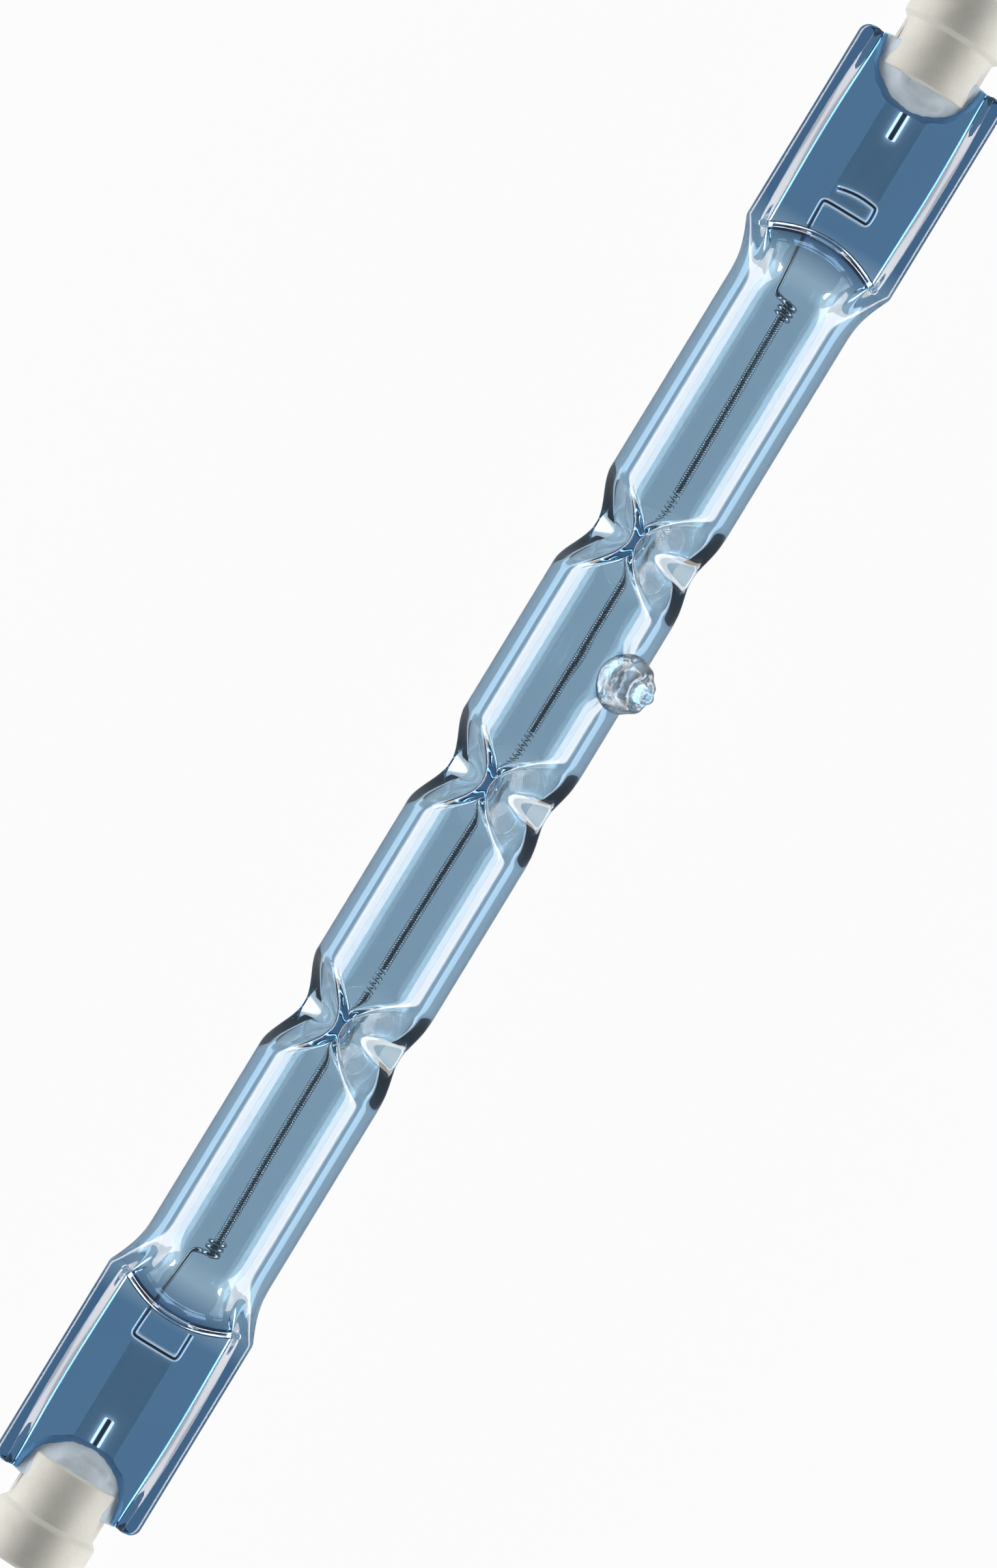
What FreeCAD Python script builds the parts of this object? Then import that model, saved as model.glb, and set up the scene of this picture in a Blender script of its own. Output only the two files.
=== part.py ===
import FreeCAD, Part
import math
import os
import Sketcher

# Linear halogen lamp with a ceramic contact cap at each end.
# The lamp lies along X with its middle at the origin, the flat faces of its pinches face up and down (Z),
# and the coil runs along the axis. Right pieces lie on +X, and each left piece is the mirror image of one.

Vector = FreeCAD.Vector
ALONG_X = FreeCAD.Rotation(Vector(0, 1, 0), 90)

SIZES = [
    ("glass_length", 107.1, "quartz body from pinch end to pinch end"),
    ("tube_diameter", 8.73, "outside of the quartz tube"),
    ("tube_wall", 1.0, "wall of the quartz tube"),
    ("pinch_length", 14.4, "flat pressed end of the quartz"),
    ("pinch_width", 10.67, "across both ribs of the pinch"),
    ("rib_thickness", 3.2, "pinch measured over its ribs"),
    ("rib_width", 0.95, "flat top of a rib with its rounded edge"),
    ("rib_edge_radius", 0.5, "rounding along the outer edges of the ribs"),
    ("rib_slope", 36, "lean of the walls of the press mark, in degrees"),
    ("web_thickness", 2.0, "pinch between its ribs"),
    ("pinch_corner_radius", 0.7, "corners of the pinch's free end, seen from above"),
    ("flare_length", 4.1, "transition from round tube to flat pinch"),
    ("press_reach", 1.35, "how far the rounded end of the press mark stands past the flare"),
    ("press_bulge", 1.05, "height of the arc that ends the press mark"),
    ("cavity_end_width", 8.1, "cavity where it meets the pinch"),
    ("cavity_end_thickness", 1.3, "cavity where it meets the pinch, across the flat"),
    ("dimple_spacing", 18.06, "from one station of dimples to the next"),
    ("dimple_stations", 3, "stations of dimples along the tube"),
    ("dimples_around", 3, "dimples at each station"),
    ("dimple_turn", 35, "first dimple, from the top round towards the front, in degrees"),
    ("dimple_floor", 1.05, "floor of a dimple from the axis"),
    ("dimple_floor_diameter", 1.0, "flat floor of a dimple"),
    ("dimple_lean", 40, "side of a dimple from its own axis, in degrees"),
    ("dimple_shoulder", 3.4, "where the side of a dimple opens into its rim, from the lamp's axis"),
    ("dimple_rim_lean", 62, "soft rim of a dimple from its own axis, in degrees"),
    ("dimple_floor_wall", 0.5, "glass under the floor of a dimple"),
    ("dimple_side_wall", 0.7, "glass beside a dimple"),
    ("tip_place", 9.3, "seal-off tip along the tube from its middle"),
    ("tip_turn", 50, "seal-off tip, from the top round towards the front, in degrees"),
    ("tip_base_diameter", 4.0, "foot of the seal-off tip"),
    ("tip_neck_diameter", 2.2, "waist of the seal-off tip"),
    ("tip_neck_height", 1.2, "waist of the seal-off tip above the tube"),
    ("tip_height", 2.9, "seal-off tip above the tube"),
    ("tip_end_diameter", 0.9, "blunt end of the seal-off tip"),
    ("tip_bore_diameter", 1.3, "hole that the exhaust tube leaves in the wall"),
    ("tip_bore_height", 1.0, "closed end of that hole above the tube"),
    ("coil_diameter", 0.67, "outside of the tungsten coil"),
    ("coil_end_setback", 4.9, "from the cavity's end to the coil's end"),
    ("inner_lead_diameter", 0.38, "wire that clamps the coil"),
    ("clamp_gap", 0.03, "between the coil and the turns that clamp it"),
    ("clamp_turns", 2, "whole turns of a clamp, which a part turn follows"),
    ("clamp_pitch", 0.43, "advance of the clamp in one turn"),
    ("clamp_setback", 0.15, "first turn of the clamp from the coil's end"),
    ("clamp_tail", 1.0, "free tail after the clamp"),
    ("elbow_lift", 1.17, "elbow of the inner lead beside the axis"),
    ("leg_lift", 1.58, "long leg of the hairpin beside the axis"),
    ("return_leg_drop", 1.6, "short leg of the hairpin, on the other side"),
    ("hairpin_reach", 1.95, "hairpin's cross leg past the cavity's end"),
    ("return_leg_free", 0.25, "end of the short leg inside the cavity"),
    ("lead_bend_radius", 0.5, "bends of the inner lead"),
    ("foil_width", 2.95, "molybdenum foil across"),
    ("foil_thickness", 0.09, "molybdenum foil at its thickest"),
    ("foil_flat_width", 1.5, "middle of the foil, between its feathered edges"),
    ("foil_length", 8.3, "molybdenum foil along the pinch"),
    ("foil_lap", 0.35, "foil past the middle of the hairpin's cross leg"),
    ("outer_lead_diameter", 0.7, "wire from the foil to the contact"),
    ("outer_lead_lap", 2.5, "outer lead along the foil"),
    ("cap_length", 6.95, "ceramic cap from mouth to end"),
    ("cap_overlap", 1.7, "ceramic cap over the pinch"),
    ("cap_diameter", 7.04, "ceramic cap"),
    ("cap_neck_diameter", 6.33, "neck of the cap beside the pinch"),
    ("cap_neck_length", 3.4, "neck of the cap from its mouth"),
    ("cap_shoulder_length", 0.35, "slope from the neck to the full diameter"),
    ("cap_edge_chamfer", 0.3, "bevel round the cap's outer end"),
    ("cement_layer", 0.15, "cement between the cap's slot and the pinch"),
    ("cement_reach", 4.1, "foot of the cement mound from the pinch's end inward"),
    ("cement_crown_reach", 2.6, "crown of the cement mound from the pinch's end inward"),
    ("cement_crown_height", 1.3, "mound of cement above the web at its crown"),
    ("contact_recess_depth", 1.7, "contact face below the cap's end"),
    ("contact_recess_diameter", 3.6, "recess in the cap's end"),
    ("contact_seat_diameter", 3.2, "seat of the contact button, at the bottom of the recess"),
    ("contact_thickness", 0.8, "contact button"),
    ("contact_gap", 0.06, "round the contact button in its seat"),
    ("contact_taper", 0.12, "lean of the contact button's side over its thickness"),
    ("lead_hole_gap", 0.05, "round the outer lead in the cap"),
]

doc = FreeCAD.newDocument("linear_halogen_bulb")
sizes = doc.addObject("Spreadsheet::Sheet", "sizes")
for row, (alias, size, note) in enumerate(SIZES, start=1):
    sizes.set(f"A{row}", alias)
    sizes.set(f"B{row}", str(size))
    sizes.set(f"C{row}", note)
    sizes.setAlias(f"B{row}", alias)
doc.recompute()

# The inside of a dimple has this many flat sides.
BACK_SIDES = 8

# A bent wire has six flat sides, and straight runs stand for its curves, so many to a full turn.
WIRE_SIDES = 6
RUNS_IN_A_TURN = 14

# An edge counts as lying at a place when it is this near, in millimetres.
NEAR = 0.01

# Places that several pieces share, as formulas on the sheet.
PINCH_END = "sizes.glass_length / 2"
FLARE_END = f"({PINCH_END} - sizes.pinch_length)"
FLARE_START = f"({FLARE_END} - sizes.flare_length)"
PRESS_APEX = f"({FLARE_END} + sizes.press_reach)"
WEB_WIDTH = "(sizes.pinch_width - 2 * sizes.rib_width)"
ARC_RADIUS = f"(({WEB_WIDTH} / 2)^2 + sizes.press_bulge^2) / (2 * sizes.press_bulge)"
PRESS_SIDE = f"({PRESS_APEX} - sizes.press_bulge)"
COIL_END = f"({PRESS_APEX} - sizes.coil_end_setback)"
HAIRPIN_END = f"({PRESS_APEX} + sizes.hairpin_reach)"
FOIL_START = f"({HAIRPIN_END} - sizes.foil_lap)"
FOIL_END = f"({FOIL_START} + sizes.foil_length)"
FOIL_PLANE = "(-(sizes.outer_lead_diameter + sizes.foil_thickness) / 2)"
INNER_LEAD_PLANE = f"({FOIL_PLANE} + (sizes.foil_thickness + sizes.inner_lead_diameter) / 2)"
CAP_MOUTH = f"({PINCH_END} - sizes.cap_overlap)"
CAP_END = f"({CAP_MOUTH} + sizes.cap_length)"
SLOT_END = f"({PINCH_END} + sizes.cement_layer)"
CONTACT_FACE = f"({CAP_END} - sizes.contact_recess_depth)"
SEAT_FLOOR = f"({CONTACT_FACE} - sizes.contact_thickness)"


def worth(formula):
    """The number that a formula on the sheet gives."""
    result = sizes.evalExpression(str(formula).replace("sizes.", ""))
    return float(getattr(result, "Value", result))


def bind(item, **formulas):
    """Binds properties of an object to formulas on the sheet."""
    for name, formula in formulas.items():
        item.setExpression(name, str(formula))
    return item


def place(item, x=0, y=0, z=0, turn=None):
    """Puts an object at a place given by formulas."""
    item.Placement = FreeCAD.Placement(Vector(worth(x), worth(y), worth(z)), turn or FreeCAD.Rotation())
    return item


def new_body(name):
    body = doc.addObject("PartDesign::Body", name)
    body.Label = name
    return body


def sketch_on(body, role, name, lift="0"):
    """A sketch on one of the body's own planes, lifted off it by a formula."""
    sketch = body.newObject("Sketcher::SketchObject", name)
    plane = next(f for f in body.Origin.OriginFeatures if f.Role == role)
    sketch.AttachmentSupport = [(plane, "")]
    sketch.MapMode = "FlatFace"
    sketch.setExpression("AttachmentOffset.Base.z", lift)
    return sketch


def hold_point(sketch, edge, end, x, y):
    """Holds one end of a sketch edge at a place given by two formulas."""
    for kind, axis, formula in (("DistanceX", -2, x), ("DistanceY", -1, y)):
        if str(formula) == "0":
            sketch.addConstraint(Sketcher.Constraint("PointOnObject", edge, end, axis))
            continue
        index = sketch.addConstraint(Sketcher.Constraint(kind, -1, 1, edge, end, worth(formula)))
        sketch.setExpression(f"Constraints[{index}]", str(formula))


def close_loop(sketch, count):
    """Joins the edges of a sketch end to start, the last to the first."""
    for i in range(count):
        sketch.addConstraint(Sketcher.Constraint("Coincident", i, 2, (i + 1) % count, 1))


def draw_outline(sketch, corners):
    """A closed outline of straight lines through corners given as pairs of formulas."""
    points = [Vector(worth(x), worth(y), 0) for x, y in corners]
    count = len(points)
    for i in range(count):
        sketch.addGeometry(Part.LineSegment(points[i], points[(i + 1) % count]), False)
    close_loop(sketch, count)
    for i, (x, y) in enumerate(corners):
        hold_point(sketch, i, 1, x, y)


def press_arc(sketch, side):
    """The arc that ends the press mark, at the right end (side 1) or the left end (side -1)."""
    half_web, radius = worth(f"{WEB_WIDTH} / 2"), worth(ARC_RADIUS)
    spread = math.asin(half_web / radius)
    middle = 0 if side == 1 else math.pi
    circle = Part.Circle(Vector(side * (worth(PRESS_APEX) - radius), 0, 0), Vector(0, 0, 1), radius)
    arc = sketch.addGeometry(Part.ArcOfCircle(circle, middle - spread, middle + spread), False)
    sketch.addConstraint(Sketcher.Constraint("PointOnObject", arc, 3, -1))
    index = sketch.addConstraint(Sketcher.Constraint("Radius", arc, radius))
    sketch.setExpression(f"Constraints[{index}]", ARC_RADIUS)


def feature(body, kind, name, profile):
    item = body.newObject(kind, name)
    item.Profile = profile
    return item


def turn_about_x(body, kind, name, sketch):
    """A full turn of a sketch about the lamp's axis."""
    item = feature(body, kind, name, sketch)
    item.ReferenceAxis = (sketch, ["H_Axis"])
    item.Angle = 360
    return item


def edges_where(shape, test):
    return [f"Edge{i}" for i, edge in enumerate(shape.Edges, start=1) if test(edge)]


def mirrored(source, name):
    """The left-hand copy of a right-hand piece."""
    copy = doc.addObject("Part::Mirroring", name)
    copy.Label = name
    copy.Source = source
    copy.Normal = (1, 0, 0)
    return copy


def joined(name, *pieces):
    fusion = doc.addObject("Part::MultiFuse", name)
    fusion.Label = name
    fusion.Shapes = list(pieces)
    fusion.Refine = True
    return fusion


def cut(name, base, tool):
    remainder = doc.addObject("Part::Cut", name)
    remainder.Label = name
    remainder.Base = base
    remainder.Tool = tool
    return remainder


def shared(name, base, tool):
    overlap = doc.addObject("Part::Common", name)
    overlap.Label = name
    overlap.Base = base
    overlap.Tool = tool
    return overlap


def shape_feature(name, shape):
    item = doc.addObject("Part::Feature", name)
    item.Label = name
    item.Shape = shape
    return item


def flat_sided(rings):
    """A solid with flat sides from ring to ring, closed at both ends."""
    outlines = [rings[0], rings[-1]]
    for ring, following in zip(rings, rings[1:]):
        for i in range(len(ring)):
            outlines.append([ring[i - 1], ring[i], following[i], following[i - 1]])
    faces = [Part.Face(Part.makePolygon(outline + outline[:1])) for outline in outlines]
    return Part.makeSolid(Part.makeShell(faces))


# Pressed end of the quartz: a bar with rounded edges, pressed thinner between its ribs on both faces.
def make_pinch_bar():
    bar = new_body("pinch_bar")
    section = sketch_on(bar, "YZ_Plane", "pinch_section", FLARE_END)
    half_width = "sizes.pinch_width / 2"
    half_thickness = "sizes.rib_thickness / 2"
    draw_outline(section, [
        (f"-{half_width}", f"-{half_thickness}"),
        (half_width, f"-{half_thickness}"),
        (half_width, half_thickness),
        (f"-{half_width}", half_thickness),
    ])
    plain = feature(bar, "PartDesign::Pad", "plain_bar", section)
    bind(plain, Length="sizes.pinch_length")
    doc.recompute()
    edges = bar.newObject("PartDesign::Fillet", "rib_edges")
    edges.Base = (plain, edges_where(plain.Shape, lambda e: e.BoundBox.XLength > NEAR))
    bind(edges, Radius="sizes.rib_edge_radius")
    doc.recompute()

    # The press mark between the ribs ends in an arc that bulges towards the cap.
    mark = sketch_on(bar, "XY_Plane", "press_mark", half_thickness)
    half_web = f"{WEB_WIDTH} / 2"
    past_end = f"({PINCH_END} + sizes.rib_thickness)"
    side_x, end_x, side_y = worth(PRESS_SIDE), worth(past_end), worth(half_web)
    press_arc(mark, 1)
    mark.addGeometry(Part.LineSegment(Vector(side_x, side_y, 0), Vector(end_x, side_y, 0)), False)
    mark.addGeometry(Part.LineSegment(Vector(end_x, side_y, 0), Vector(end_x, -side_y, 0)), False)
    mark.addGeometry(Part.LineSegment(Vector(end_x, -side_y, 0), Vector(side_x, -side_y, 0)), False)
    close_loop(mark, 4)
    hold_point(mark, 1, 1, PRESS_SIDE, half_web)
    hold_point(mark, 2, 1, past_end, half_web)
    hold_point(mark, 3, 1, past_end, f"-{half_web}")
    mark.addConstraint(Sketcher.Constraint("Vertical", 1, 1, 0, 1))
    top = feature(bar, "PartDesign::Pocket", "press_recess", mark)
    bind(top, Length="(sizes.rib_thickness - sizes.web_thickness) / 2", TaperAngle="-sizes.rib_slope")
    doc.recompute()
    both = bar.newObject("PartDesign::Mirrored", "press_recess_below")
    both.Originals = [top]
    both.MirrorPlane = (next(f for f in bar.Origin.OriginFeatures if f.Role == "XY_Plane"), [""])
    bar.Tip = both
    return bar


# The bar is trimmed to a plan whose free corners are rounded.
def make_pinch():
    plan = new_body("pinch_plan")
    outline = sketch_on(plan, "XY_Plane", "plan_outline")
    half_width = "sizes.pinch_width / 2"
    draw_outline(outline, [
        (FLARE_END, f"-{half_width}"),
        (PINCH_END, f"-{half_width}"),
        (PINCH_END, half_width),
        (FLARE_END, half_width),
    ])
    plate = feature(plan, "PartDesign::Pad", "plan_plate", outline)
    plate.Midplane = True
    bind(plate, Length="2 * sizes.rib_thickness")
    doc.recompute()
    end = worth(PINCH_END)
    corners = plan.newObject("PartDesign::Fillet", "plan_corners")
    corners.Base = (plate, edges_where(plate.Shape, lambda e: e.BoundBox.XMin > end - NEAR
                                       and e.BoundBox.ZLength > NEAR))
    bind(corners, Radius="sizes.pinch_corner_radius")
    pinch = shared("right_pinch", make_pinch_bar(), plan)
    doc.recompute()
    return pinch


def squeezed(name, radius, end_radius, end_half_thickness, reach=None):
    """A round bar along the lamp that widens, and is squeezed flat, towards both ends."""
    far = f"({FLARE_END} + {reach})" if reach else FLARE_END
    half_plan = [(FLARE_START, radius), (FLARE_END, end_radius)] + [(far, end_radius)] * bool(reach)
    turned = new_body(f"{name}_turned")
    plan = sketch_on(turned, "XY_Plane", f"{name}_plan")
    draw_outline(plan, [(f"-{far}", "0")] + [(f"-{x}", y) for x, y in reversed(half_plan)] + half_plan
                 + [(far, "0")])
    turn_about_x(turned, "PartDesign::Revolution", f"{name}_turning", plan)

    # The flat slopes run on past the round bar's top, so that they leave its middle whole.
    rise = "sizes.tube_wall"
    top = f"({radius} + {rise})"
    top_start = f"({FLARE_START} - {rise} * sizes.flare_length / ({radius} - {end_half_thickness}))"
    half_side = [(top_start, top), (FLARE_END, end_half_thickness)] + [(far, end_half_thickness)] * bool(reach)
    upper = [(f"-{x}", z) for x, z in reversed(half_side)] + half_side
    pressed = new_body(f"{name}_pressed")
    side = sketch_on(pressed, "XZ_Plane", f"{name}_side")
    draw_outline(side, upper + [(x, f"-{z}") for x, z in reversed(upper)])
    slab = feature(pressed, "PartDesign::Pad", f"{name}_slab", side)
    slab.Midplane = True
    bind(slab, Length=f"4 * {end_radius}")
    doc.recompute()
    return shared(f"{name}_squeezed", turned, pressed)


def make_outer_form(pinch):
    tube = squeezed("tube", "sizes.tube_diameter / 2", "sizes.pinch_width / 2", "sizes.rib_thickness / 2")
    tip = make_tip()
    doc.recompute()
    return joined("glass_form", tube, pinch, mirrored(pinch, "left_pinch"), tip)


# Stub left where the exhaust tube was melted off: a flared foot, a waist and a blunt end.
def make_tip():
    tip = new_body("exhaust_tip")
    profile = sketch_on(tip, "XZ_Plane", "tip_profile")
    surface = "sizes.tube_diameter / 2"
    top = f"({surface} + sizes.tip_height)"
    draw_outline(profile, [
        ("0", f"{surface} - sizes.tube_wall / 2"),
        ("sizes.tip_base_diameter / 2", f"{surface} - sizes.tube_wall / 2"),
        ("sizes.tip_neck_diameter / 2", f"{surface} + sizes.tip_neck_height"),
        ("sizes.tip_end_diameter / 2", top),
        ("0", top),
    ])
    turning = feature(tip, "PartDesign::Revolution", "tip_turning", profile)
    turning.ReferenceAxis = (profile, ["V_Axis"])
    turning.Angle = 360
    return place(tip, x="sizes.tip_place", turn=FreeCAD.Rotation(Vector(1, 0, 0), worth("sizes.tip_turn")))


def dimple_places():
    """Where along the lamp each dimple is, and its turn round the lamp."""
    stations = int(worth("sizes.dimple_stations"))
    around = int(worth("sizes.dimples_around"))
    places = []
    for station in range(stations):
        x = (station - (stations - 1) / 2) * worth("sizes.dimple_spacing")
        for step in range(around):
            angle = worth("sizes.dimple_turn") + 360 / around * step
            places.append((x, FreeCAD.Rotation(Vector(1, 0, 0), angle)))
    return places


def radial_cones(name, start, height, first_radius, last_radius):
    """One cone for each dimple, standing out from the lamp's axis."""
    cones = []
    for x, turn in dimple_places():
        cone = bind(doc.addObject("Part::Cone", name), Radius1=first_radius, Radius2=last_radius, Height=height)
        cone.Placement = FreeCAD.Placement(Vector(x, 0, 0) + turn.multVec(Vector(0, 0, worth(start))), turn)
        cones.append(cone)
    return cones


# The pressing tools: blunt cones with a small flat end, and a wide cone round each for the soft rim.
def make_dimple_tools():
    floor = "sizes.dimple_floor"
    shoulder = "sizes.dimple_shoulder"
    slope = "tan(sizes.dimple_lean * 1deg)"
    rim_slope = "tan(sizes.dimple_rim_lean * 1deg)"
    rim_height = f"(sizes.tube_diameter - {shoulder})"
    shoulder_radius = f"(sizes.dimple_floor_diameter / 2 + ({shoulder} - {floor}) * {slope})"
    sides = radial_cones("dimple_side", floor, f"{shoulder} - {floor}", "sizes.dimple_floor_diameter / 2",
                         shoulder_radius)
    rims = radial_cones("dimple_rim", shoulder, rim_height, shoulder_radius,
                        f"{shoulder_radius} + {rim_height} * {rim_slope}")
    doc.recompute()
    return joined("dimple_tools", *sides, *rims)


# The dimples seen from inside the lamp: blunt pyramids that keep the glass between them and the tools.
def make_dimple_backs():
    foot = worth("sizes.dimple_floor - sizes.dimple_floor_wall")
    top = worth("sizes.tube_diameter / 2")
    slope = math.tan(math.radians(worth("sizes.dimple_lean")))
    foot_radius = worth("sizes.dimple_floor_diameter / 2 - sizes.dimple_floor_wall * tan(sizes.dimple_lean * 1deg)"
                        " + sizes.dimple_side_wall / cos(sizes.dimple_lean * 1deg)")
    rings = []
    for height, radius in ((foot, foot_radius), (top, foot_radius + (top - foot) * slope)):
        across = radius / math.cos(math.pi / BACK_SIDES)
        angles = [2 * math.pi * (side + 0.5) / BACK_SIDES for side in range(BACK_SIDES)]
        rings.append([Vector(across * math.cos(a), across * math.sin(a), height) for a in angles])
    pyramid = flat_sided(rings)
    backs = []
    for x, turn in dimple_places():
        back = shape_feature("dimple_back", pyramid)
        back.Placement = FreeCAD.Placement(Vector(x, 0, 0), turn)
        backs.append(back)
    doc.recompute()
    return joined("dimple_backs", *backs)


# The space inside: the bore, squeezed flat with the tube, ending in an arc inside each pinch.
def make_cavity():
    radius = "(sizes.tube_diameter / 2 - sizes.tube_wall)"
    bore = squeezed("bore", radius, "sizes.cavity_end_width / 2", "sizes.cavity_end_thickness / 2",
                    "sizes.press_reach")

    # Its ends are arcs, where the press marks begin.
    plan = new_body("cavity_plan")
    outline = sketch_on(plan, "XY_Plane", "cavity_outline")
    x, y = worth(PRESS_SIDE), worth(f"{WEB_WIDTH} / 2")
    press_arc(outline, 1)
    outline.addGeometry(Part.LineSegment(Vector(x, y, 0), Vector(-x, y, 0)), False)
    press_arc(outline, -1)
    outline.addGeometry(Part.LineSegment(Vector(-x, -y, 0), Vector(x, -y, 0)), False)
    close_loop(outline, 4)
    hold_point(outline, 1, 1, PRESS_SIDE, f"{WEB_WIDTH} / 2")
    hold_point(outline, 1, 2, f"-{PRESS_SIDE}", f"{WEB_WIDTH} / 2")
    outline.addConstraint(Sketcher.Constraint("Vertical", 1, 1, 0, 1))
    outline.addConstraint(Sketcher.Constraint("Vertical", 1, 2, 2, 2))
    slab = feature(plan, "PartDesign::Pad", "cavity_slab", outline)
    slab.Midplane = True
    bind(slab, Length="2 * sizes.tube_diameter")
    doc.recompute()
    shaped = shared("shaped_bore", bore, plan)

    # The exhaust tube's hole runs up inside the tip.
    hole = bind(doc.addObject("Part::Cylinder", "exhaust_hole"), Radius="sizes.tip_bore_diameter / 2",
                Height="sizes.tube_diameter / 2 + sizes.tip_bore_height")
    place(hole, x="sizes.tip_place", turn=FreeCAD.Rotation(Vector(1, 0, 0), worth("sizes.tip_turn")))
    doc.recompute()
    return joined("cavity_form", shaped, hole)


# Tungsten coil: its turns touch, so one rod of their outside diameter stands for them.
def make_coil():
    coil = bind(doc.addObject("Part::Cylinder", "filament_coil"), Radius="sizes.coil_diameter / 2",
                Height=f"2 * {COIL_END}")
    coil.Label = "filament_coil"
    return place(coil, x=f"-{COIL_END}", turn=ALONG_X)


def bent_route(points, radius):
    """A route through the points, its corners rounded by short straight runs."""
    route = [points[0]]
    for before, corner, after in zip(points, points[1:], points[2:]):
        back = (before - corner).normalize()
        ahead = (after - corner).normalize()
        half = back.getAngle(ahead) / 2
        centre = corner + (back + ahead).normalize() * (radius / math.sin(half))
        arm = corner + back * (radius / math.tan(half)) - centre
        sweep = math.degrees(math.pi - 2 * half)
        runs = max(1, round(RUNS_IN_A_TURN * sweep / 360))
        for run in range(runs + 1):
            turn = FreeCAD.Rotation(ahead.cross(back), sweep * run / runs)
            route.append(centre + turn.multVec(arm))
    route.append(points[-1])
    return route


def wire_along(name, route, diameter):
    """A wire with flat sides along a route, mitred wherever the route turns."""
    heading = (route[1] - route[0]).normalize()
    ring = []
    for side in range(WIRE_SIDES):
        turn = FreeCAD.Rotation(heading, 360 / WIRE_SIDES * side)
        ring.append(route[0] + turn.multVec(Vector(0, 0, diameter / 2)))
    rings = [ring]
    for before, here, after in zip(route, route[1:], route[2:] + route[-1:]):
        heading = (here - before).normalize()
        mitre = heading if after is here else (heading + (after - here).normalize()).normalize()
        ring = [point + heading * ((here - point).dot(mitre) / heading.dot(mitre)) for point in ring]
        rings.append(ring)
    return shape_feature(name, flat_sided(rings))


# Inner lead, built at the left end: hairpin in the pinch, run through the cavity, and the turns round the coil.
def make_inner_lead():
    level = worth(INNER_LEAD_PLANE)
    lift = worth("sizes.elbow_lift")
    ring = worth("(sizes.coil_diameter + sizes.inner_lead_diameter) / 2 + sizes.clamp_gap")
    pitch = worth("sizes.clamp_pitch")

    # The run from the elbow meets the clamp's first turn at a tangent, on the top side of the coil.
    distance = math.hypot(lift, level)
    touch = math.atan2(level, lift) + math.acos(ring / distance)
    slope = pitch / (2 * math.pi * ring)
    run = math.sqrt(distance ** 2 - ring ** 2)
    start_x = -worth(COIL_END) + worth("sizes.clamp_setback")
    first = Vector(start_x, ring * math.cos(touch), ring * math.sin(touch))
    elbow = Vector(start_x - slope * run, lift, level)

    cross_x = -worth(HAIRPIN_END)
    free_x = -worth(PRESS_APEX) + worth("sizes.return_leg_free")
    leg = worth("sizes.leg_lift")
    back_leg = -worth("sizes.return_leg_drop")
    points = [Vector(free_x, back_leg, level), Vector(cross_x, back_leg, level), Vector(cross_x, leg, level),
              elbow, first]
    route = bent_route(points, worth("sizes.lead_bend_radius"))

    # The clamp ends where its tangent points straight up beside the coil, behind it.
    sweep = 2 * math.pi * worth("sizes.clamp_turns") + 1.5 * math.pi - touch
    runs = round(RUNS_IN_A_TURN * sweep / (2 * math.pi))
    for step in range(1, runs + 1):
        turned = sweep * step / runs
        route.append(Vector(start_x + pitch * turned / (2 * math.pi), ring * math.cos(touch + turned),
                            ring * math.sin(touch + turned)))
    route.append(route[-1] + Vector(slope, 1, 0).normalize() * worth("sizes.clamp_tail"))
    return wire_along("left_inner_lead", route, worth("sizes.inner_lead_diameter"))


# Foil with feathered edges, drawn out along the pinch.
def make_foil():
    foil = new_body("right_foil")
    section = sketch_on(foil, "YZ_Plane", "foil_section", FOIL_START)
    edge = "sizes.foil_width / 2"
    flat = "sizes.foil_flat_width / 2"
    top = f"{FOIL_PLANE} + sizes.foil_thickness / 2"
    under = f"{FOIL_PLANE} - sizes.foil_thickness / 2"
    draw_outline(section, [
        (f"-{edge}", FOIL_PLANE),
        (f"-{flat}", under),
        (flat, under),
        (edge, FOIL_PLANE),
        (flat, top),
        (f"-{flat}", top),
    ])
    strip = feature(foil, "PartDesign::Pad", "foil_strip", section)
    bind(strip, Length="sizes.foil_length")
    return foil


def make_outer_lead():
    start = f"({FOIL_END} - sizes.outer_lead_lap)"
    lead = bind(doc.addObject("Part::Cylinder", "right_outer_lead"), Radius="sizes.outer_lead_diameter / 2",
                Height=f"{SEAT_FLOOR} - {start}")
    lead.Label = "right_outer_lead"
    return place(lead, x=start, turn=ALONG_X)


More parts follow.
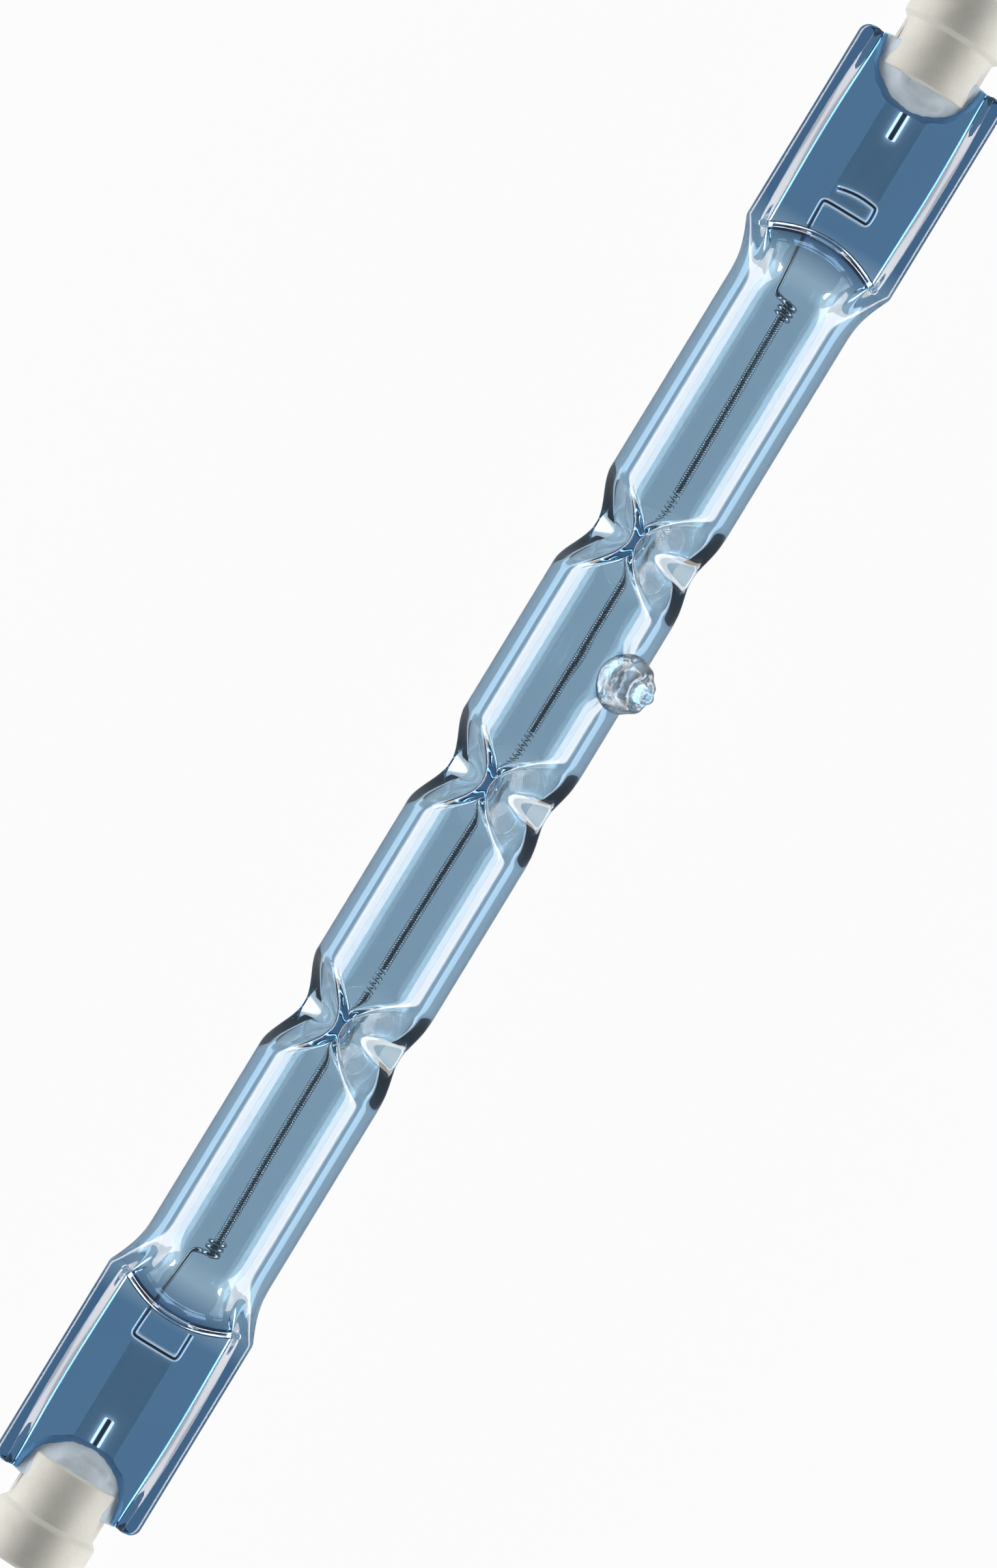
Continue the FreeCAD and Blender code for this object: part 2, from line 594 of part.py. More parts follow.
# Turned ceramic cap: slotted neck, shoulder, full diameter, and the recess that the lampholder's contact enters.
def make_cap():
    cap = new_body("right_cap")
    profile = sketch_on(cap, "XY_Plane", "cap_profile")
    neck_end = f"({CAP_MOUTH} + sizes.cap_neck_length)"
    lead_hole = "(sizes.outer_lead_diameter / 2 + sizes.lead_hole_gap)"
    recess = "sizes.contact_recess_diameter / 2"
    seat = "sizes.contact_seat_diameter / 2"
    draw_outline(profile, [
        (CAP_MOUTH, lead_hole),
        (CAP_MOUTH, "sizes.cap_neck_diameter / 2"),
        (neck_end, "sizes.cap_neck_diameter / 2"),
        (f"{neck_end} + sizes.cap_shoulder_length", "sizes.cap_diameter / 2"),
        (f"{CAP_END} - sizes.cap_edge_chamfer", "sizes.cap_diameter / 2"),
        (CAP_END, "sizes.cap_diameter / 2 - sizes.cap_edge_chamfer"),
        (CAP_END, recess),
        (CONTACT_FACE, recess),
        (CONTACT_FACE, seat),
        (SEAT_FLOOR, seat),
        (SEAT_FLOOR, lead_hole),
    ])
    turn_about_x(cap, "PartDesign::Revolution", "cap_turning", profile)
    doc.recompute()
    slot = sketch_on(cap, "XZ_Plane", "slot_outline")
    slot_half = "(sizes.web_thickness / 2 + sizes.cement_layer)"
    draw_outline(slot, [
        (f"{CAP_MOUTH} - sizes.cap_neck_length", f"-{slot_half}"),
        (SLOT_END, f"-{slot_half}"),
        (SLOT_END, slot_half),
        (f"{CAP_MOUTH} - sizes.cap_neck_length", slot_half),
    ])
    opening = feature(cap, "PartDesign::Pocket", "web_slot", slot)
    opening.Type = "Length"
    opening.Midplane = True
    bind(opening, Length="2 * sizes.cap_diameter")
    doc.recompute()
    return cap


# Contact button: a disc whose side leans in a little, its back welded to the end of the outer lead.
def make_contact():
    contact = new_body("right_contact")
    profile = sketch_on(contact, "XY_Plane", "contact_profile")
    back = "(sizes.contact_seat_diameter / 2 - sizes.contact_gap)"
    draw_outline(profile, [
        (SEAT_FLOOR, "0"),
        (SEAT_FLOOR, back),
        (CONTACT_FACE, f"{back} - sizes.contact_taper"),
        (CONTACT_FACE, "0"),
    ])
    turn_about_x(contact, "PartDesign::Revolution", "contact_turning", profile)
    return contact


# Cement: a mound over both faces of the web, joined through the cap's slot.
def make_cement(pinch, cap, outer_lead):
    mound = new_body("cement_mound")
    profile = sketch_on(mound, "XZ_Plane", "mound_profile")
    crown = "(sizes.web_thickness / 2 + sizes.cement_crown_height)"
    draw_outline(profile, [
        ("0", f"-{crown}"),
        ("sizes.cement_crown_reach", f"-{crown}"),
        ("sizes.cement_reach", "-sizes.web_thickness / 2"),
        ("sizes.cement_reach", "sizes.web_thickness / 2"),
        ("sizes.cement_crown_reach", crown),
        ("0", crown),
    ])
    turning = feature(mound, "PartDesign::Revolution", "mound_turning", profile)
    turning.ReferenceAxis = (profile, ["V_Axis"])
    turning.Angle = 360
    place(mound, x=PINCH_END)
    size = "2 * sizes.cement_reach"
    block = bind(doc.addObject("Part::Box", "cement_side"), Length=size, Width=size, Height=size)
    place(block, x=f"{PINCH_END} - {size}", y="-sizes.cement_reach", z="-sizes.cement_reach")
    half = shared("cement_mound_half", mound, block)
    slot_height = "(sizes.web_thickness + 2 * sizes.cement_layer)"
    fill = bind(doc.addObject("Part::Box", "slot_fill"), Length=f"{SLOT_END} - {CAP_MOUTH}",
                Width="2 * sizes.cap_neck_diameter", Height=slot_height)
    place(fill, x=CAP_MOUTH, y="-sizes.cap_neck_diameter", z=f"-{slot_height} / 2")
    neck = bind(doc.addObject("Part::Cylinder", "neck_room"), Radius="sizes.cap_neck_diameter / 2",
                Height="sizes.cap_length")
    place(neck, x=CAP_MOUTH, turn=ALONG_X)
    plug = shared("slot_plug", fill, neck)
    raw = joined("cement_raw", half, plug)
    past_cap = cut("cement_round_cap", raw, cap)
    past_pinch = cut("cement_round_pinch", past_cap, pinch)
    return cut("right_cement", past_pinch, outer_lead)


# The envelope: the outer form less the cavity, and less the metal that is sealed into its pinches.
def make_envelope(pinch, sealed_in):
    form = make_outer_form(pinch)
    pressed = cut("pressed_form", form, make_dimple_tools())
    hollow = cut("dimpled_cavity", make_cavity(), make_dimple_backs())
    envelope = cut("blown_glass", pressed, hollow)
    for piece in sealed_in:
        envelope = cut(f"glass_round_{piece.Name}", envelope, piece)
    envelope.Label = "quartz_envelope"
    return envelope


pinch = make_pinch()
inner_lead = make_inner_lead()
foil = make_foil()
outer_lead = make_outer_lead()
metal = [inner_lead, mirrored(inner_lead, "right_inner_lead"), foil, mirrored(foil, "left_foil"), outer_lead,
         mirrored(outer_lead, "left_outer_lead")]
envelope = make_envelope(pinch, metal)
cap = make_cap()
cement = make_cement(pinch, cap, outer_lead)
contact = make_contact()
ends = [cap, mirrored(cap, "left_cap"), cement, mirrored(cement, "left_cement"), contact,
        mirrored(contact, "left_contact")]
pieces = [envelope, make_coil(), *metal, *ends]
doc.recompute()

for item in doc.Objects:
    if "Invalid" in item.State or "Error" in item.State:
        raise RuntimeError(f"{item.Label} failed: {item.State}")
for piece in pieces:
    shape = piece.Shape
    if shape.isNull() or not shape.isValid():
        raise RuntimeError(f"{piece.Label} has no valid shape")
    print(f"{piece.Label}: {len(shape.Solids)} solid, {shape.Volume:.2f} cubic mm")

os.makedirs("parts", exist_ok=True)
for piece in pieces:
    piece.Shape.exportStep(f"parts/{piece.Label}.step")
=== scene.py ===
# %% [markdown]
# # A linear halogen bulb, seen from above
#
# The lamp is a dimpled quartz tube with pressed ends, a long tungsten coil and two ceramic caps.
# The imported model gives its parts, their places and the box that they fill. This lesson dresses
# it: the glass, the wires, the cement and the ceramic are made again with rounder forms, and each
# gets its own finish.

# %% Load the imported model
import math

import bmesh
import bpy
from mathutils import Matrix, Vector, noise


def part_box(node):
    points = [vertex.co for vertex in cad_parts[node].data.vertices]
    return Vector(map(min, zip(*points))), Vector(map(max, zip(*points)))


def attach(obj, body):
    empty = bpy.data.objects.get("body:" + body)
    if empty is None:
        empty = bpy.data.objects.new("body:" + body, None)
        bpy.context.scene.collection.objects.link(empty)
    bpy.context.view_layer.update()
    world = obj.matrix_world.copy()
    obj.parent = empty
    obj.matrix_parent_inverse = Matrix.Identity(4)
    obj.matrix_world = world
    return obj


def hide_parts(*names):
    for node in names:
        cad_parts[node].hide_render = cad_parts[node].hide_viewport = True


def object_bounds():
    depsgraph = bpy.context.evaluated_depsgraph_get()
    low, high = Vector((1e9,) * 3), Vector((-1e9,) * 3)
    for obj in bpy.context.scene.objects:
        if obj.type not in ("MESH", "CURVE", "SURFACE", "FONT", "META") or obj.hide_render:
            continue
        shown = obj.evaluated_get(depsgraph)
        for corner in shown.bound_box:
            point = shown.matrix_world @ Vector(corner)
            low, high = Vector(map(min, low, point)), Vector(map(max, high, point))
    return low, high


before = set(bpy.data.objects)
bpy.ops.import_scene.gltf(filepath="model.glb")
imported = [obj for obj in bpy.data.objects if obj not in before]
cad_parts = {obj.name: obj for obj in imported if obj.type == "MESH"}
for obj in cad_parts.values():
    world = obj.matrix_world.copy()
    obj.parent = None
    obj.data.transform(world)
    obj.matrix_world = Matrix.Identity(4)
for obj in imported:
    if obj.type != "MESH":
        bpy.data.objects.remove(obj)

scene = bpy.context.scene
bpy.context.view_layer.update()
print("parts in the model:", sorted(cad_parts))

# %% [markdown]
# ## Working in millimetres
#
# The lamp's parts are small, so their sizes read best in millimetres. Each mesh is shaped in
# millimetres and scaled once, when it becomes an object.

# %% Millimetres
MM = 0.001


def box_mm(node):
    """Lowest and highest corner of a part of the model, in millimetres."""
    low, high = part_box(node)
    return low / MM, high / MM


PINCH_END = box_mm("quartz_envelope")[1].x
FLOOR_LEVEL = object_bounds()[0][2]
print("quartz body", round(2 * PINCH_END, 2), "mm long")

# %% [markdown]
# ## The camera
#
# The photograph looks straight down on the lamp through a long lens, with the lamp rising to the
# right. The camera stands half a metre above it, and is turned about the upright axis until the
# lamp leans as it does in the photograph. It is placed first, so that each later piece can be
# judged in the same picture.

# %% Camera
CAMERA_HEIGHT = 0.5
VIEW_HEIGHT = 0.10033
LAMP_LEAN = math.radians(31.343)
SENSOR = 36.0
SHIFT_RIGHT, SHIFT_UP = -0.000083, -0.000275

view_right = Vector((math.sin(LAMP_LEAN), -math.cos(LAMP_LEAN), 0))
view_up = Vector((math.cos(LAMP_LEAN), math.sin(LAMP_LEAN), 0))
view_middle = SHIFT_RIGHT * view_right + SHIFT_UP * view_up

camera_data = bpy.data.cameras.new("camera")
camera_data.sensor_fit = "VERTICAL"
camera_data.sensor_height = SENSOR
camera_data.lens = SENSOR * CAMERA_HEIGHT / VIEW_HEIGHT
camera_data.clip_start = 0.01
camera = bpy.data.objects.new("camera", camera_data)
camera.location = view_middle + Vector((0, 0, CAMERA_HEIGHT))
camera.rotation_euler = (0, 0, LAMP_LEAN - math.pi / 2)
scene.collection.objects.link(camera)
scene.camera = camera
print("lens", round(camera_data.lens, 1), "mm")

# %% [markdown]
# ## Node arithmetic
#
# Materials and the world's light are built from nodes. A small class wraps what a node gives, so
# that a mask can be written as a sum or a product, and Blender's Math nodes appear behind it. One
# method makes every node from its type, its settings and what its sockets take.

# %% Signals and finishes
class Signal:
    """What a node gives: mostly a number that varies over a surface."""

    def __init__(self, finish, socket):
        self.finish = finish
        self.socket = socket

    def maths(self, operation, *values):
        values = values or (self,)
        return self.finish.node("ShaderNodeMath", {"operation": operation}, dict(enumerate(values)))

    def __add__(self, other):
        return self.maths("ADD", self, other)

    def __sub__(self, other):
        return self.maths("SUBTRACT", self, other)

    def __rsub__(self, other):
        return self.maths("SUBTRACT", other, self)

    def __mul__(self, other):
        return self.maths("MULTIPLY", self, other)

    def __truediv__(self, other):
        return self.maths("DIVIDE", self, other)

    __radd__ = __add__
    __rmul__ = __mul__

    def held(self):
        """The same number, kept between nought and one."""
        return self.maths("MAXIMUM", self.maths("MINIMUM", self, 1.0), 0.0)


class Finish:
    """A material or a world, and the one method that adds nodes to it."""

    def __init__(self, name, kind="materials", result="ShaderNodeOutputMaterial"):
        self.owner = getattr(bpy.data, kind).new(name)
        self.owner.use_nodes = True
        self.result = result
        self.tree = self.owner.node_tree
        self.tree.nodes.clear()

    def node(self, kind, settings=None, sockets=None, output=0):
        made = self.tree.nodes.new(kind)
        for name, value in (settings or {}).items():
            setattr(made, name, value)
        for name, value in (sockets or {}).items():
            if isinstance(value, Signal):
                self.tree.links.new(value.socket, made.inputs[name])
            else:
                made.inputs[name].default_value = value
        if made.outputs:
            return Signal(self, made.outputs[output])

    def place(self, stretch=(1, 1, 1)):
        """The spot on the piece, measured from the object's origin and stretched for a pattern."""
        spot = self.node("ShaderNodeTexCoord", output="Object")
        return self.node("ShaderNodeMapping", {}, {"Vector": spot, "Scale": stretch})

    def noise(self, where, scale, detail=3.0, roughness=0.5):
        sockets = {"Vector": where, "Scale": scale, "Detail": detail, "Roughness": roughness}
        return self.node("ShaderNodeTexNoise", {}, sockets)

    def blend(self, amount, first, second):
        """One colour turning into another as the amount goes from nought to one."""
        sockets = {0: amount, 6: first, 7: second}
        return self.node("ShaderNodeMix", {"data_type": "RGBA"}, sockets, output=2)

    def bump(self, height, strength, depth):
        sockets = {"Strength": strength, "Distance": depth, "Height": height}
        return self.node("ShaderNodeBump", {}, sockets)

    def surface(self, **sockets):
        """The main shader. Underscores in the names stand for the spaces in Blender's own."""
        named = {name.replace("_", " "): value for name, value in sockets.items()}
        return self.node("ShaderNodeBsdfPrincipled", {}, named)

    def show(self, surface, volume=None):
        """Connects what was made, and gives the material or the world."""
        sockets = {"Surface": surface}
        if volume:
            sockets["Volume"] = volume
        self.node(self.result, {}, sockets)
        return self.owner


# %% [markdown]
# ## Fused quartz
#
# The glass of the photograph is clear with a strong blue cast. Real tinted glass darkens with the
# length of the way that light takes through it, so half of the cast is an absorbing volume: the
# thick edges of the tube turn darker by themselves. The other half is a tint on the surface, which
# keeps light that runs a long way inside the wall from dying out. A very faint glow stands for
# light that is caught inside the wall, which the renderer gives up on after a few bounces.
# Faint drawing lines along the tube, from when it was pulled, ripple the surface. The photograph
# shows the pinches darker than the tube, so they have a deeper tint of their own.

# %% Quartz finish
QUARTZ_IOR = 1.46
QUARTZ_DENSITY = 500.0
QUARTZ_PASSED = (0.287, 0.508, 0.661, 1)
TUBE_TINTS = ((0.608, 0.706, 0.764, 1), (0.631, 0.72, 0.77, 1))
PINCH_TINTS = ((0.129, 0.248, 0.39, 1), (0.139, 0.264, 0.402, 1))
PINCH_COLOUR_START = 0.0375
PINCH_COLOUR_FULL = 0.041
CAUGHT_LIGHT = (0.45, 0.62, 0.8, 1)
CAUGHT_STRENGTH = 0.025
LINE_STRETCH = (0.12, 1, 1)
LINE_SCALE = 900.0
LINE_DEPTH = 0.00003
POLISHED, LINE_ROUGHNESS = 0.002, 0.01
MOTTLE_SCALE = 160.0

quartz = Finish("quartz")
drawn = quartz.noise(quartz.place(stretch=LINE_STRETCH), scale=LINE_SCALE, detail=2.0)
mottle = quartz.noise(quartz.place(), scale=MOTTLE_SCALE)
lengthwise = quartz.node("ShaderNodeSeparateXYZ", {}, {"Vector": quartz.place()}, output="X")
along = lengthwise.maths("ABSOLUTE")
pinched = ((along - PINCH_COLOUR_START) / (PINCH_COLOUR_FULL - PINCH_COLOUR_START)).held()
clear = quartz.blend(mottle, *TUBE_TINTS)
dense = quartz.blend(mottle, *PINCH_TINTS)
quartz_surface = quartz.surface(
    Base_Color=quartz.blend(pinched, clear, dense),
    Roughness=POLISHED + LINE_ROUGHNESS * drawn,
    IOR=QUARTZ_IOR,
    Transmission_Weight=1.0,
    Emission_Color=CAUGHT_LIGHT,
    Emission_Strength=CAUGHT_STRENGTH,
    Normal=quartz.bump(drawn, strength=0.05, depth=LINE_DEPTH),
)
quartz_volume = quartz.node(
    "ShaderNodeVolumeAbsorption", {}, {"Color": QUARTZ_PASSED, "Density": QUARTZ_DENSITY}
)
QUARTZ = quartz.show(quartz_surface, quartz_volume)
print("quartz made with", len(quartz.tree.nodes), "nodes")

# %% [markdown]
# ## Tungsten, molybdenum and nickel
#
# The coil and the wires inside are drawn tungsten, almost black with bright edges. The foils and
# the outer leads are molybdenum, rolled and drawn, so a fine grain runs along them. The contact
# buttons are satin nickel. The foils get a faint painted glow, which stands in for light that comes
# through the glass and reaches them too weakly in this renderer. Two paler films, for the gaps round
# the wires, glow more: their glow is a painted reflection of the light that the gaps mirror. One
# function makes them all, because a metal's colour and roughness both follow the grain that it was
# worked in.

# %% Metal finishes
EVEN_GRAIN, LONG_GRAIN = (1, 1, 1), (0.05, 1, 1)
GRAIN_DEPTH = 0.00001
# Colours of the painted glows: the foils' faint one, and the films' painted reflections.
FOIL_GLOW_TINT = (0.72, 0.93, 1.0, 1)
REFLECTION_GLOW_TINT = (1.0, 0.85, 0.78, 1)


def metal(name, dark, light, grain, scale, rough, spread, glow=0.0, tint=FOIL_GLOW_TINT):
    """A metal with a fine grain, whose roughness spreads upwards from a lowest value, and a painted
    glow of the given strength and tint.
    """
    made = Finish(name)
    lines = made.noise(made.place(stretch=grain), scale=scale, detail=4.0)
    patches = made.noise(made.place(), scale=scale * 0.2)
    surface = made.surface(
        Base_Color=made.blend((0.6 * lines + 0.4 * patches).held(), dark, light),
        Metallic=1.0,
        Roughness=(rough + spread * lines).held(),
        Emission_Color=tint,
        Emission_Strength=glow,
        Normal=made.bump(lines, strength=0.2, depth=GRAIN_DEPTH),
    )
    return made.show(surface)


def reflection_glow(name, glow):
    """A glowing sheet that paints the pale reflection in a gap between wire and glass."""
    return metal(
        name, dark=(0.88, 0.92, 0.96, 1), light=(1.0, 1.0, 1.0, 1),
        grain=EVEN_GRAIN, scale=2500.0, rough=0.15, spread=0.15, glow=glow, tint=REFLECTION_GLOW_TINT,
    )


TUNGSTEN = metal(
    "tungsten", dark=(0.20, 0.20, 0.21, 1), light=(0.34, 0.34, 0.35, 1),
    grain=EVEN_GRAIN, scale=4000.0, rough=0.05, spread=0.08,
)
# The foil's glow of 0.17 is painted light: it stands in for light that comes through the glass.
FOIL = metal(
    "molybdenum_foil", dark=(0.80, 0.84, 0.90, 1), light=(0.90, 0.93, 0.97, 1),
    grain=LONG_GRAIN, scale=3000.0, rough=0.5, spread=0.15, glow=0.17,
)
# The lead pin is near black: painted shade, which gives the outer lead its dark core line.
LEAD = metal(
    "molybdenum_wire_painted_dark", dark=(0.10, 0.10, 0.11, 1), light=(0.2, 0.2, 0.21, 1),
    grain=LONG_GRAIN, scale=4000.0, rough=0.05, spread=0.08,
)
# These two films glow: painted reflections of the light that the gaps round the wires mirror.
REFLECTION_GLOW = reflection_glow("gap_reflection_glow", glow=1.4)
BRIGHT_REFLECTION_GLOW = reflection_glow("lead_gap_reflection_glow", glow=2.4)
NICKEL = metal(
    "nickel", dark=(0.48, 0.46, 0.43, 1), light=(0.72, 0.70, 0.66, 1),
    grain=EVEN_GRAIN, scale=1500.0, rough=0.28, spread=0.2,
)
print("metals:", [item.name for item in (TUNGSTEN, FOIL, LEAD, REFLECTION_GLOW, BRIGHT_REFLECTION_GLOW, NICKEL)])

# %% [markdown]
# ## Ceramic and cement
#
# The caps are pressed steatite: matte, off-white, with a warm speckle and a slightly sandy skin.
# The cement that holds them is bluer, and set in small lumps. Both are grains fired or set
# together, so one function serves, and the share of coarse lumps tells them apart.

# %% Ceramic finishes
def mineral(name, dark, light, scale, rough, bump_depth, coarse):
    """A fired or set mineral: cloudy patches, fine specks and a grainy skin."""
    made = Finish(name)
    clouds = made.noise(made.place(), scale=scale, detail=4.0)
    grains = made.noise(made.place(), scale=scale * 9, detail=3.0)
    lumps = coarse * made.noise(made.place(), scale=scale * 2.5) + (1 - coarse) * grains
    surface = made.surface(
        Base_Color=made.blend((0.75 * clouds + 0.25 * grains).held(), dark, light),
        Roughness=(rough + 0.15 * grains).held(),
        Specular_IOR_Level=0.3,
        Normal=made.bump(lumps, strength=0.5, depth=bump_depth),
    )
    return made.show(surface)


CERAMIC = mineral(
    "cap_ceramic", dark=(0.57, 0.56, 0.49, 1), light=(0.83, 0.83, 0.78, 1),
    scale=500.0, rough=0.55, bump_depth=0.00002, coarse=0.2,
)
CEMENT = mineral(
    "cement", dark=(0.54, 0.66, 0.76, 1), light=(0.76, 0.84, 0.91, 1),
    scale=900.0, rough=0.7, bump_depth=0.00008, coarse=0.6,
)
print("minerals:", CERAMIC.name, "and", CEMENT.name)

# %% [markdown]
# ## Putting a piece in its place
#
# Every new mesh ends the same way. It is scaled to metres, becomes an object at the origin, rides
# with the lamp, takes its finish, and hides the part of the model that it stands for. Pieces
# at the lamp's two ends are made once, at the right one, and mirrored for the left.

# %% Helpers that finish a piece
ENDS = (("right", 1), ("left", -1))
TOUCHING = 0.0005


def piece_from(bm, name, slot, material, *nodes):
    """Makes an object of a mesh that was shaped in millimetres."""
    bmesh.ops.scale(bm, vec=(MM, MM, MM), verts=bm.verts)
    mesh = bpy.data.meshes.new(name)
    bm.to_mesh(mesh)
    bm.free()
    mesh.shade_smooth()
    mesh.materials.append(material)
    piece = bpy.data.objects.new(name, mesh)
    scene.collection.objects.link(piece)
    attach(piece, "root")
    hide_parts(*nodes)
    print(name, "has", len(mesh.polygons), "faces")
    return piece


def face_outwards(bm):
    """Merges what lies together and turns every face outwards."""
    bmesh.ops.remove_doubles(bm, verts=bm.verts, dist=TOUCHING)
    bmesh.ops.recalc_face_normals(bm, faces=bm.faces)


def at_end(bm, side):
    """Leaves a mesh at the right end, or mirrors it to the left one."""
    bmesh.ops.scale(bm, vec=(side, 1, 1), verts=bm.verts)
    face_outwards(bm)


def between(low, high, value):
    """How far a value is on its way from low to high, from nought to one."""
    return min(max((value - low) / (high - low), 0.0), 1.0)


def eased(share):
    """The same way, but setting off and arriving gently."""
    return share * share * (3 - 2 * share)


def smaller(first, second, soft):
    """The smaller of two heights, with a rounded change from one to the other."""
    near = max(soft - abs(first - second), 0.0) / soft
    return min(first, second) - near * near * soft / 4


def larger(first, second, soft):
    return -smaller(-first, -second, soft)


# %% [markdown]
# ## The quartz body: rings along the lamp
#
# The body began as a plain tube, so the mesh does too: a line along the lamp is spun about the
# axis, once for the outside of the glass and once for the bore. Stations are close together only
# where the form changes. Every vertex is then moved as the glassmaker moved the glass: squeezed
# flat at the ends, pressed in at the dimples, and drawn out at the exhaust tip.

# %% Stations along the lamp
TUBE_RADIUS = 4.365
BORE_RADIUS = 3.365
FLARE_START = 34.8
PRESS_APEX = 40.5
DIMPLE_STATIONS = (-18.75, -0.65, 17.35)
DIMPLE_TURNS = (51.0, 171.0, 291.0)
TIP_PLACE = 9.3
TIP_TURN = 51.5
AROUND = 128
DIMPLE_SPREAD, TIP_SPREAD = 5.2, 2.8
FINE_STEP, COARSE_STEP = 0.22, 1.2


def run(start, end, step):
    """Places from start up to end, near to the step apart."""
    count = max(1, round((end - start) / step))
    return [start + (end - start) * index / count for index in range(count)]


def middle_stations():
    """Places along the tube: fine at the dimples and the tip, coarse between them."""
    fine = [(x - DIMPLE_SPREAD, x + DIMPLE_SPREAD) for x in DIMPLE_STATIONS]
    fine.append((TIP_PLACE - TIP_SPREAD, TIP_PLACE + TIP_SPREAD))
    places = []
    reached = -FLARE_START
    for low, high in sorted(fine):
        if low > reached:
            places += run(reached, low, COARSE_STEP)
            reached = low
        places += run(reached, high, FINE_STEP)
        reached = high
    return places + run(reached, FLARE_START, COARSE_STEP)


TUBE_STATIONS = middle_stations()
print(len(TUBE_STATIONS), "stations on the round tube")

# %% [markdown]
# ## The section of a pinch
#
# Across a pinch the glass is a thin web between two thick ribs, like the letter H on its side.
# One quarter of that outline is enough: from the middle of the web, up the slope to the rib's
# flat top, round its outer edge and down to the middle. A share from nought to one walks along
# it, so each point of the round tube knows which point of the pinch it turns into.

# %% Outline of a pinch
WEB_HALF_WIDTH = 3.92
WEB_HALF_THICKNESS = 1.0
RIB_FOOT = 4.42
RIB_SWELL = 0.3
RIB_TOP = 1.6
RIB_EDGE = 0.5
PINCH_HALF_WIDTH = 5.335
WEB_SHARE, SLOPE_SHARE, TOP_SHARE, EDGE_SHARE = 0.44, 0.58, 0.68, 0.88
CORNER_SOFTNESS = 0.014


def sharp_section(share, swell):
    """A point of the pinch's outline, as distance across and height."""
    share = 1 - abs(1 - abs(share))
    foot_end = RIB_FOOT + RIB_SWELL * swell
    if share < WEB_SHARE:
        return Vector((WEB_HALF_WIDTH * share / WEB_SHARE, WEB_HALF_THICKNESS))
    if share < SLOPE_SHARE:
        way = between(WEB_SHARE, SLOPE_SHARE, share)
        foot = Vector((WEB_HALF_WIDTH, WEB_HALF_THICKNESS))
        return foot.lerp(Vector((foot_end, RIB_TOP)), way)
    edge_start = PINCH_HALF_WIDTH - RIB_EDGE
    if share < TOP_SHARE:
        way = between(SLOPE_SHARE, TOP_SHARE, share)
        return Vector((foot_end + (edge_start - foot_end) * way, RIB_TOP))
    if share < EDGE_SHARE:
        angle = math.pi / 2 * between(TOP_SHARE, EDGE_SHARE, share)
        across = edge_start + RIB_EDGE * math.sin(angle)
        return Vector((across, RIB_TOP - RIB_EDGE + RIB_EDGE * math.cos(angle)))
    return Vector((PINCH_HALF_WIDTH, (RIB_TOP - RIB_EDGE) * (1 - between(EDGE_SHARE, 1, share))))


def pinch_section(share, swell):
    """The outline with its corners softened, as hot glass has them."""
    before = sharp_section(share - CORNER_SOFTNESS, swell)
    after = sharp_section(share + CORNER_SOFTNESS, swell)
    soft = 0.5 * sharp_section(share, swell) + 0.25 * before + 0.25 * after
    soft.x = 0.0 if share == 0 else soft.x
    soft.y = 0.0 if share == 1 else soft.y
    return soft


# %% [markdown]
# ## From tube to pinch
#
# The jaws of the press close on the hot tube, so over a few millimetres the round section goes
# flat and wide. The jaws' front edge is curved: the web begins along an arc that bulges towards
# the cap. The arc is a row of the mesh, with close rows on both sides that keep its crease.

# %% The outside of the glass
PRESS_BULGE = 1.05
RIB_BULGE = 1.35
BULGE_FADE = 4.0
FLAT_GROWTH = 2.6
CORNER_RADIUS = 0.7
CORNER_ROWS = (1.0, 0.75, 0.5, 0.3, 0.15, 0.06, 0.0)
CREASE = 0.9
STEP_HEIGHT = 0.24
STEP_LENGTH = 0.42
STEP_RISE_START = FLARE_START + 2
STEP_FADE_SHARE = 0.6
SWELL_END = PINCH_END - 1.2
SWELL_FULLNESS = 0.7
CORNER_FOOT = RIB_FOOT - 0.3
END_ROUNDING, END_ROUNDING_LENGTH = 0.05, 0.12
FLARE_STEP, EDGE_STEP, PINCH_STEP = 0.2, 0.06, 0.7
EDGE_BEFORE, EDGE_AFTER = 0.8, 0.6
EDGE_ROWS = (0.1, 0.2, 0.35)


def end_stations():
    """Places from the flare to the end of a pinch."""
    places = run(FLARE_START, PRESS_APEX - EDGE_BEFORE, FLARE_STEP)
    places += run(PRESS_APEX - EDGE_BEFORE, PRESS_APEX + EDGE_ROWS[0], EDGE_STEP)
    places += [PRESS_APEX + row for row in EDGE_ROWS]
    places += run(PRESS_APEX + EDGE_AFTER, PINCH_END - CORNER_RADIUS, PINCH_STEP)
    return places + [PINCH_END - CORNER_RADIUS * part for part in CORNER_ROWS]


def pressed_share(share):
    """How flat the glass is along the flare: a slow start, and still sloping at the press's edge."""
    return eased(share * CREASE) / eased(CREASE)


def press_step(along):
    """The small extra step that the jaws' edge leaves round the start of the web."""
    risen = eased(between(STEP_RISE_START, PRESS_APEX - STEP_LENGTH, along))
    return STEP_HEIGHT * risen * between(PRESS_APEX, PRESS_APEX - STEP_LENGTH, along)


